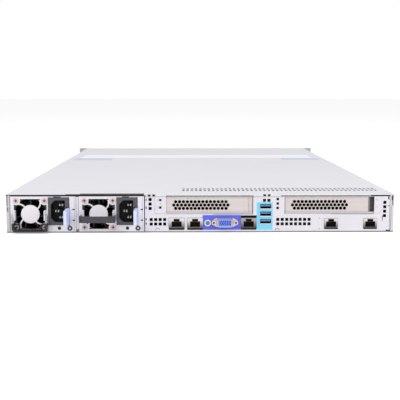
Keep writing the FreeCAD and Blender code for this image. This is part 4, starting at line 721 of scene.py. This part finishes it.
TREES = {"screws": screw_tree(), "studs": stud_tree(), "bars": bar_tree()}
QUARTER = math.radians(90)
TO_REAR, TO_FRONT = (QUARTER, 0.0, 0.0), (-QUARTER, 0.0, 0.0)
TO_RIGHT, TO_LEFT = (0.0, QUARTER, 0.0), (0.0, -QUARTER, 0.0)


def grow(kind, name, points, body, slot, **values):
    """Run a tree on a cloud of points and keep the result as a plain mesh piece."""
    tree, identifiers = TREES[kind]
    cloud = bpy.data.meshes.new(name + "_points")
    cloud.from_pydata(points, [], [])
    source = new_object(name + "_source", cloud)
    modifier = source.modifiers.new("grow", "NODES")
    modifier.node_group = tree
    for label, value in values.items():
        modifier[identifiers[label]] = value
    graph = bpy.context.evaluated_depsgraph_get()
    mesh = bpy.data.meshes.new_from_object(source.evaluated_get(graph))
    mesh.name = name
    bpy.data.objects.remove(source)
    link(name, mesh, None, body)


def studs(name, points, radius, height, turn, material, body="root", slot=STEEL, sides=16, top=1.0):
    grow("studs", name, points, body, slot, Sides=sides, Radius=radius, Top=radius * top, Height=height,
         Turn=turn, Material=material)


def bars(name, points, size, material, body="root", slot=STEEL):
    grow("bars", name, points, body, slot, Size=size, Turn=ORIGIN, Material=material)


def strips(name, spans, front, back, material, body="root", slot=STEEL):
    """Thin flat bars on a face; the spans are in millimetres."""
    scaled = [tuple((low * MM, high * MM) for low, high in span) for span in spans]
    link(name, strips_mesh(name, scaled, front, back), material, body)


def marks(name, spans, plane, lift, depth, material=SEAM, body="root", slot="dark_plastic"):
    """Strips a hair proud of a face and a little way into it; lift and depth in millimetres."""
    strips(name, spans, plane - lift * MM, plane + depth * MM, material, body, slot)


# ---- power supplies ----

# millimetres from the guard's left edge and the floor, or from the fan's axis
LAMP_PLACE, KNOB_PLACE, LAMP_HEIGHT = 54.6, 66.5, 5.2
SCREW_SIDE, SCREW_RISE = 16.0, 15.1
SCREW_RADIUS, SCREW_HEIGHT = 2.8 * MM, 0.6 * MM
SCREW_RIM = ((3.0, 0.1), (3.1, -0.35), (3.6, -0.3), (3.8, 0.1))
LAMP_LENS = ((0.0, 0.4), (1.3, 0.5), (1.7, 0.8), (1.7, 1.6), (0.0, 1.6))
KNOB_RING = ((1.5, 0.2), (1.6, -0.6), (2.5, -0.6), (2.85, -0.2), (2.85, 0.2))
KNOB_PIN = ((0.0, -0.5), (0.9, -0.5), (1.2, -0.2), (1.2, 1.4), (0.0, 1.4))
GUARD_SLOTS = [((69.6, 72.4), (foot, foot + 1.4)) for foot in (13.6, 25.9)] + [((48.6, 56.8), (40.45, 41.25))]
GUARD_FOLD = ((71.7, 72.0), (1.8, 41.0))


def dress_supply(number):
    """Ringed screws in the guard's corners, the light, the knob beside it and the guard's small slots and
    fold in painted shade.
    """
    body = f"supply_{number}"
    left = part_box(f"psu_{number}_guard")[0].x / MM
    x, z = middle(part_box(f"psu_{number}_fan_rotor"))
    corners = [(x + side * SCREW_SIDE * MM, z + rise * SCREW_RISE * MM)
               for side in (-1, 1) for rise in (-1, 1)]
    rims, heads = ([(cx, plane, cz) for cx, cz in corners] for plane in (SUPPLY_FACE, SUPPLY_FACE - 0.1 * MM))
    turned(f"{body}_screw_rims", SCREW_RIM, 28, rims, RIM_STEEL, body)
    grow("screws", f"{body}_fan_screws", heads, body, "supply_metal", Radius=SCREW_RADIUS,
         Height=SCREW_HEIGHT, Recess=SCREW_RADIUS * 0.42, Turn=TO_REAR, Material=PINK_GREY)
    lamp, knob = (((left + place) * MM, SUPPLY_FACE, LAMP_HEIGHT * MM) for place in (LAMP_PLACE, KNOB_PLACE))
    turned(f"{body}_light", LAMP_LENS, 24, [lamp], BLACK, body)
    turned(f"{body}_knob_ring", KNOB_RING, 32, [knob], INK, body)
    turned(f"{body}_knob_pin", KNOB_PIN, 24, [knob], NICKEL, body)
    *slots, fold = [((left + start, left + end), rise) for (start, end), rise in [*GUARD_SLOTS, GUARD_FOLD]]
    marks(f"{body}_slots", slots, SUPPLY_FACE, 0.04, 0.2, body=body)
    marks(f"{body}_fold", [fold], SUPPLY_FACE, 0.03, 0.2, GROOVE_SHADE, body, "supply_metal")


WEB_STEPS, WEB_HEIGHT, WEB_HOLE, WEB_EDGE, WEB_REACH = 32, 9.3 * MM, 3.0 * MM, 0.5 * MM, 8.4 * MM
WEB_SHEET, FLANGE_SHEET = (0.1 * MM, 0.7 * MM), (0.15 * MM, 0.65 * MM)
FLANGE_RISE, FLANGE_END = (0.5 * MM, 2.9 * MM), 8.2 * MM


def bail_webs(number, folded):
    """A bail's thin flange along its bar, widened at both arms into webs pierced over the guard's screws."""
    low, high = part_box(f"psu_{number}_handle")
    centre_x, centre_z = middle(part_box(f"psu_{number}_fan_rotor"))
    height = centre_z - SCREW_RISE * MM - FOLDED_FOOT
    shape = bmesh.new()

    def corner(x, rise, depth):
        """A corner at a rise from the bar and a depth in the sheet: folded it hangs, raised it lies."""
        place = (x, high.y - depth, low.z + rise) if folded else (x, low.y + rise, low.z + depth)
        return shape.verts.new(place)

    for side, edge in ((-1, low.x), (1, high.x)):
        hole = centre_x + side * SCREW_SIDE * MM
        left, right = sorted((edge - side * WEB_EDGE, edge - side * WEB_REACH))
        loops = []
        for depth in WEB_SHEET:
            for reach in (WEB_HOLE, None):
                loop = []
                for step in range(WEB_STEPS):
                    turn = 2 * math.pi * (step + 0.5) / WEB_STEPS
                    cosine, sine = math.cos(turn), math.sin(turn)
                    limit_x = ((right if cosine > 0 else left) - hole) / cosine
                    limit_z = ((WEB_HEIGHT if sine > 0 else WEB_EDGE) - height) / sine
                    length = reach or min(limit_x, limit_z)
                    loop.append(corner(hole + length * cosine, height + length * sine, depth))
                loops.append(loop)
        near_hole, near_edge, far_hole, far_edge = loops
        ring = (near_hole, near_edge, far_edge, far_hole, near_hole)
        for first, second in zip(ring, ring[1:]):
            for step in range(WEB_STEPS):
                after = (step + 1) % WEB_STEPS
                shape.faces.new((first[step], second[step], second[after], first[after]))
    corners = [corner(x, rise, depth) for x in (low.x + FLANGE_END, high.x - FLANGE_END)
               for rise in FLANGE_RISE for depth in FLANGE_SHEET]
    bmesh.ops.convex_hull(shape, input=corners)
    material = BAIL_FOLDED_SHADED if folded else BAIL_RAISED
    body = f"supply_{number}_handle"
    link(f"{body}_webs", to_mesh(shape, "webs"), material, body)


BAY_GAP, BAY_FOOT = 0.35 * MM, 4.2 * MM


def bay_flange():
    """The folded rear edge of the wall between the two supplies, and the near-black seal over them that also
    stands in for the shadow under the cover.
    """
    span = ((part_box("psu_1_guard")[1].x + BAY_GAP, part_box("psu_2_guard")[0].x - BAY_GAP),
            (BAY_FOOT, WALL_HIGH.z - 0.2 * MM))
    link("bay_flange", strips_mesh("bay_flange", [span], WALL_FACE - 0.4 * MM, WALL_BACK), WALL)
    span = ((PAN_LOW.x + 4.8 * MM, WALL_LOW.x - 0.3 * MM), (ROOF_FOOT - 0.9 * MM, ROOF_FOOT - 0.15 * MM))
    seal = strips_mesh("bay_seal", [span], WALL_FACE, WALL_FACE + 4 * MM)
    link("bay_seal", seal, SEAM, "root")


# ---- rear wall ----

FIELD_FACES = WALL_FACE - 0.12 * MM, WALL_FACE + 0.02 * MM
VIDEO_FIELD = ((2.3 * MM, 45.7 * MM), (3.0 * MM, 19.8 * MM))
USB_FIELD = ((63.5 * MM, 81.6 * MM), (3.0 * MM, 34.4 * MM))
USB_STEPS, USB_HEIGHT, USB_LOWER_RIM, USB_UPPER_RIM = (0.0, 8.7, 17.1), 5.8, 1.0, 4.9
BUTTON_RING = ((2.4, 0.2), (2.4, -0.6), (2.8, -0.8), (3.5, -0.8), (3.8, -0.5), (3.8, 0.2))


def span_of(node_name, across=0.0, up=0.0):
    """A node's box across and up, grown by a margin each way."""
    low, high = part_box(node_name)
    return (low.x - across, high.x + across), (low.z - up, high.z + up)


def port_fields():
    """The thin coloured fields round the video socket, the button and the USB ports, the light ring round the
    button, and the USB ports' rims, white below as a painted highlight and dark above as painted shade.
    """
    holes = [span_of("vga_insert", 0.3 * MM, 0.3 * MM), span_of("id_button", 0.2 * MM, 0.2 * MM)]
    plate("video_field", VIDEO_FIELD, holes, *FIELD_FACES, FIELD_BLUE)
    usb_x, usb_z = span_of("usb_shells")
    starts = [usb_z[0] + step * MM for step in USB_STEPS]
    holes = [(usb_x, (start, start + USB_HEIGHT * MM)) for start in starts]
    plate("usb_field", USB_FIELD, holes, *FIELD_FACES, FIELD_CYAN)
    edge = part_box("usb_shells")[0].y
    width = (usb_x[0] / MM + 0.3, usb_x[1] / MM - 0.3)
    feet = [usb_z[0] / MM + step for step in USB_STEPS]
    rims = [(width, (foot, foot + USB_LOWER_RIM)) for foot in feet]
    marks("usb_lower_rims", rims, edge, 0.04, 0.3, WHITE, slot=STEEL)
    rims = [(width, (foot + USB_UPPER_RIM, foot + USB_HEIGHT)) for foot in feet]
    marks("usb_upper_rims", rims, edge, 0.04, 0.3)
    x, z = middle(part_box("id_button"))
    turned("button_ring", BUTTON_RING, 40, [(x, WALL_FACE, z)], WHITE)


PIN_ROW, PIN_PITCH, PIN_STAGGER = 1.8, 2.5, 0.8


def video_holes():
    """Three rows of five pin holes in the video socket's insert, dark discs painted as the shade in them, and
    the rim round its mouth.
    """
    low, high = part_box("vga_insert")
    x, z = middle((low, high))
    points = []
    for row in (-1, 0, 1):
        for column in range(-2, 3):
            across = column * PIN_PITCH + (row % 2) * PIN_STAGGER
            points.append((x + across * MM, low.y - 0.02 * MM, z + row * PIN_ROW * MM))
    studs("video_pin_holes", points, 0.7 * MM, 0.1 * MM, TO_REAR, PIN_BLUE, "root", "port_blue", 12)
    outline = span_of("vga_insert", -0.3 * MM, -0.2 * MM)
    mouth = span_of("vga_insert", -1.4 * MM, -1.3 * MM)
    plate("video_rim", outline, [mouth], low.y - 0.25 * MM, low.y + 0.02 * MM, RIM_BLUE)


# each jack's left edge and width, the floor under its contacts and the foot of the gap below it
WIDE_JACK, NARROW_JACK = (17.7, 6.25, 2.8), (15.3, 5.85, 4.7)
JACKS = [(left, *WIDE_JACK) for left in (-35.9, -15.0, 45.7)]
JACKS += [(left, *NARROW_JACK) for left in (140.4, 184.9)]
GAP_TOP = 5.25
CONTACTS, CONTACT_PITCH, CONTACT_RISE = 8, 1.02, 5.7


def jack_contacts():
    """The eight spring contacts in the roof of each network jack."""
    points = []
    for left, width, floor, _ in JACKS:
        for index in range(CONTACTS):
            place = left + width / 2 + (index - (CONTACTS - 1) / 2) * CONTACT_PITCH
            points.append((place * MM, JACK_FACE + 6.5 * MM, (floor + CONTACT_RISE) * MM))
    bars("jack_contacts", points, (0.45 * MM, 6.0 * MM, 0.4 * MM), GOLD)


# thin marks on the rear face in millimetres: ((left, right), (foot, top))
LIP_RISE, NOTCH_RISE, FLAP_RISE = (41.4, 42.2), (42.3, 43.55), (22.0, 41.0)
LIP_SEAMS = [((-38.8, 60.0), LIP_RISE), ((90.5, 192.0), LIP_RISE)]
LIP_NOTCHES = [((centre - 1.7, centre + 1.7), NOTCH_RISE) for centre in (-57.8, -52.7, 72.2, 77.3)]
WALL_SLITS = [((-62.1, -60.9), (foot, foot + 2.3)) for foot in (36.0, 27.0, 14.0, 9.0)]
WALL_SLITS += [((134.6, 135.3), (15.7, 16.6)), ((134.6, 135.3), (3.7, 4.6)), ((212.2, 213.6), (37.4, 40.8)),
               ((211.8, 214.0), (29.6, 30.4)), ((210.4, 215.6), (1.2, 2.6)), ((205.8, 206.5), (13.0, 19.0))]
FLAP_HOLES = [((-46.6, -44.0), (centre - 1.3, centre + 1.3)) for centre in (28.6, 37.1)]
FLAP_HOLES += [((-45.9, -44.7), (32.6, 33.2))]
FLAP_SEAMS = [((-51.7, -51.3), FLAP_RISE), ((-51.3, -39.4), (21.6, 22.0)), ((196.3, 196.7), FLAP_RISE),
              ((204.0, 204.4), FLAP_RISE), ((196.6, 204.0), (21.6, 22.0))]
JACK_GAPS = [((left + 0.1, left + width - 0.1), (foot, GAP_TOP)) for left, width, _, foot in JACKS]
PAN_SLOTS = [((-217.6, -216.6), (24.0, 29.0)), ((216.4, 217.2), (36.5, 41.0))]
PAN_FOLDS = [((215.6, 216.2), (3.0, 30.0)), ((-215.4, -215.0), (1.2, 41.0))]
RIDGES, RIDGE_RADIUS, RIDGE_WIRE = [(-48.8 * MM, 2.8 * MM), (86.9 * MM, 2.2 * MM)], 2.2 * MM, 0.3 * MM


def wall_marks():
    """Hems, seams and small pressed marks of the rear wall and of the cover's lip, in near-black and grey as
    painted shade.
    """
    marks("lip_seams", LIP_SEAMS, COVER_LOW.y, 0.03, 0.3, body="cover")
    marks("lip_notches", LIP_NOTCHES, COVER_LOW.y, 0.03, 0.3, body="cover")
    marks("wall_slits", WALL_SLITS, WALL_FACE, 0.04, 0.2)
    half_rings("pressed_ridges", RIDGES, RIDGE_RADIUS, RIDGE_WIRE, GROOVE_SHADE)
    marks("flap_holes", FLAP_HOLES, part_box("riser_brackets")[0].y, 0.02, 0.1)
    marks("flap_seams", FLAP_SEAMS, WALL_FACE, 0.04, 0.2, FAINT_SHADE, slot=STEEL)
    marks("jack_gaps", JACK_GAPS, WALL_FACE, 0.02, 0.4)
    marks("pan_slots", PAN_SLOTS, PAN_LOW.y, 0.05, 0.3)
    marks("pan_folds", PAN_FOLDS, PAN_LOW.y, 0.05, 0.3, GROOVE_SHADE, slot=STEEL)


SILL_RISE, SLOT_RISE = (21.2, 23.4), (23.5, 40.5)
SLOT_SILLS = [((-38.6, 58.8), SILL_RISE), ((95.7, 196.1), SILL_RISE)]
SLOT_SEAMS = [((15.0, 59.0), (20.5, 21.1)), ((148.0, 196.3), (20.5, 21.1)), ((59.0, 59.6), (20.6, 40.6)),
              ((95.0, 95.5), (21.0, 40.6))]


def slot_details():
    """The sill under each slot, painted darker as shade, its dark seam in painted shade, and what closes the
    end of each opening, in painted shade at the second.
    """
    strips("slot_sills", SLOT_SILLS, WALL_FACE - 0.25 * MM, WALL_BACK + 0.8 * MM, SILL_SHADE_GREY)
    strips("slot_seams", SLOT_SEAMS, WALL_FACE - 0.05 * MM, WALL_BACK, GROOVE_SHADE, slot="dark_plastic")
    for name, across, lift, depth, material in (("slot_1_end", (54.7, 58.8), 0.1, 0.7, SLOT_STEEL),
                                                ("slot_2_shade", (189.9, 191.9), 0.1, 0.1, GROOVE_SHADE),
                                                ("slot_2_recess", (191.9, 196.2), -2.6, 3.2, RECESS_SHADE)):
        marks(name, [(across, SLOT_RISE)], WALL_BACK, lift, depth, material, slot="warm_steel")


RIVET_DEPTHS = (-380.0, -300.0, -205.0, 28.0, 60.0, 226.0, 300.0, 380.0)
RIVET_HEIGHTS = (8.0, 22.0)


def pan_rivets():
    """Rivets that hold the inner walls, cages and frames to the pan's sides."""
    for side, plane, turn in (("left", PAN_LOW.x - 0.1 * MM, TO_LEFT),
                              ("right", PAN_HIGH.x + 0.1 * MM, TO_RIGHT)):
        points = [(plane, depth * MM, height * MM) for depth in RIVET_DEPTHS for height in RIVET_HEIGHTS]
        studs(f"pan_rivets_{side}", points, 1.7 * MM, 0.6 * MM, turn, NICKEL, top=0.6)


# ---- front ----

SLAT_COUNT, SLAT_START, SLAT_MARGIN, SLAT_SIZE = 22, 12 * MM, 16 * MM, (1.1 * MM, 0.5 * MM, 9.0 * MM)
LIGHT_PLACE, LIGHT_RISES = 4.2 * MM, (18.0 * MM, 22.5 * MM)


def dress_carrier(number):
    """Air slats on the carrier's lever and the carrier's two small lights."""
    body = f"carrier_{number}"
    low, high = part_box(f"drive_carrier_{number}")
    lights = [(low.x + LIGHT_PLACE, high.y + 0.1 * MM, low.z + rise) for rise in LIGHT_RISES]
    studs(f"{body}_lights", lights, 0.8 * MM, 0.4 * MM, TO_FRONT, LAMP_GREEN, body, "dark_plastic", 12, 0.8)
    low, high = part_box(f"carrier_lever_{number}")
    pitch = (high.x - low.x - SLAT_MARGIN) / SLAT_COUNT
    slats = [(low.x + SLAT_START + index * pitch, high.y - 0.05 * MM, (low.z + high.z) / 2)
             for index in range(SLAT_COUNT)]
    bars(f"lever_{number}_slats", slats, SLAT_SIZE, DARK, f"lever_{number}", "dark_plastic")


# ---- floor, light and camera ----

WORLD_LEVEL, FLOOR_GLOW, FLOOR_SIZE = 0.50, 0.5, 30.0
WHITE_LIGHT, FLOOR_GREY = (1.0, 1.0, 1.0, 1.0), (0.9, 0.9, 0.9, 1.0)
# name, place, target, size and power
LAMPS = (("key_lamp", (-0.6, -1.6, 1.4), (0.0, -0.3, 0.0), (1.6, 1.2), 13.6),
         ("fill_lamp", (1.7, -1.4, 0.8), (0.0, -0.3, 0.0), (1.4, 1.2), 13.6),
         ("top_lamp", (0.0, 0.45, 2.2), (0.0, 0.2, 0.0), (2.0, 2.0), 8.2))
# the camera: millimetres from the middle, the cover and the floor; degrees down and to the side; lens
CAMERA_X, CAMERA_BACK, CAMERA_Z = -12.5, 905.7, 159.1
CAMERA_DOWN, CAMERA_SIDE, CAMERA_LENS = 7.665, -0.750, 73.04


def seen_rays(tree):
    """1 for rays that reach the eye straight, by gloss or through glass."""
    ways = add(tree, "ShaderNodeLightPath")
    straight = maths(tree, "MAXIMUM", ways.outputs["Is Camera Ray"], ways.outputs["Is Glossy Ray"])
    return maths(tree, "MAXIMUM", straight, ways.outputs["Is Transmission Ray"])


def make_floor():
    material = bpy.data.materials.new("floor_white")
    material.use_nodes = True
    tree = material.node_tree
    tree.nodes.clear()
    end = add(tree, "ShaderNodeOutputMaterial")
    lit = add(tree, "ShaderNodeBsdfDiffuse")
    lit.inputs["Color"].default_value = FLOOR_GREY
    glow = add(tree, "ShaderNodeEmission")
    glow.inputs["Strength"].default_value = FLOOR_GLOW
    both = add(tree, "ShaderNodeAddShader")
    choose = add(tree, "ShaderNodeMixShader")
    wire(tree, lit.outputs[0], both.inputs[0])
    wire(tree, glow.outputs[0], both.inputs[1])
    wire(tree, seen_rays(tree), choose.inputs["Fac"])
    wire(tree, lit.outputs[0], choose.inputs[1])
    wire(tree, both.outputs[0], choose.inputs[2])
    wire(tree, choose.outputs[0], end.inputs["Surface"])
    bpy.ops.mesh.primitive_plane_add(size=FLOOR_SIZE, location=(0.0, 0.0, CAD_BOX[0].z - 0.2 * MM))
    floor = bpy.context.object
    floor.name = "floor"
    floor.data.materials.append(material)


def make_world():
    world = bpy.data.worlds.new("studio")
    bpy.context.scene.world = world
    world.use_nodes = True
    tree = world.node_tree
    tree.nodes.clear()
    end = add(tree, "ShaderNodeOutputWorld")
    choose = add(tree, "ShaderNodeMixShader")
    wire(tree, seen_rays(tree), choose.inputs["Fac"])
    for socket, strength in ((1, WORLD_LEVEL), (2, 1.0)):
        glow = add(tree, "ShaderNodeBackground")
        glow.inputs["Color"].default_value = WHITE_LIGHT
        glow.inputs["Strength"].default_value = strength
        wire(tree, glow.outputs[0], choose.inputs[socket])
    wire(tree, choose.outputs[0], end.inputs["Surface"])


def make_lamp(name, place, target, size, power):
    data = bpy.data.lights.new(name, "AREA")
    data.shape = "RECTANGLE"
    data.size, data.size_y = size
    data.energy = power
    lamp = new_object(name, data)
    lamp.location = place
    lamp.rotation_euler = (Vector(target) - Vector(place)).to_track_quat("-Z", "Y").to_euler()


def make_camera():
    """A long lens behind the server, a little above it and turned slightly to the right."""
    data = bpy.data.cameras.new("camera")
    camera = new_object("camera", data)
    data.sensor_width = 36.0
    data.lens = CAMERA_LENS
    data.clip_end = 60.0
    camera.location = (CAMERA_X * MM, COVER_LOW.y - CAMERA_BACK * MM, CAMERA_Z * MM)
    camera.rotation_euler = (math.radians(90.0 - CAMERA_DOWN), 0.0, math.radians(CAMERA_SIDE))
    bpy.context.scene.camera = camera


# ---- the whole scene ----

dress_nodes()
for number in (1, 2):
    dress_supply(number)
    bail_webs(number, folded=number == 1)
bay_flange()
port_fields()
video_holes()
jack_contacts()
wall_marks()
slot_details()
pan_rivets()
for number in (1, 2, 3, 4):
    dress_carrier(number)
make_floor()
make_world()
for lamp in LAMPS:
    make_lamp(*lamp)
make_camera()
bpy.context.scene.view_settings.view_transform = "Standard"
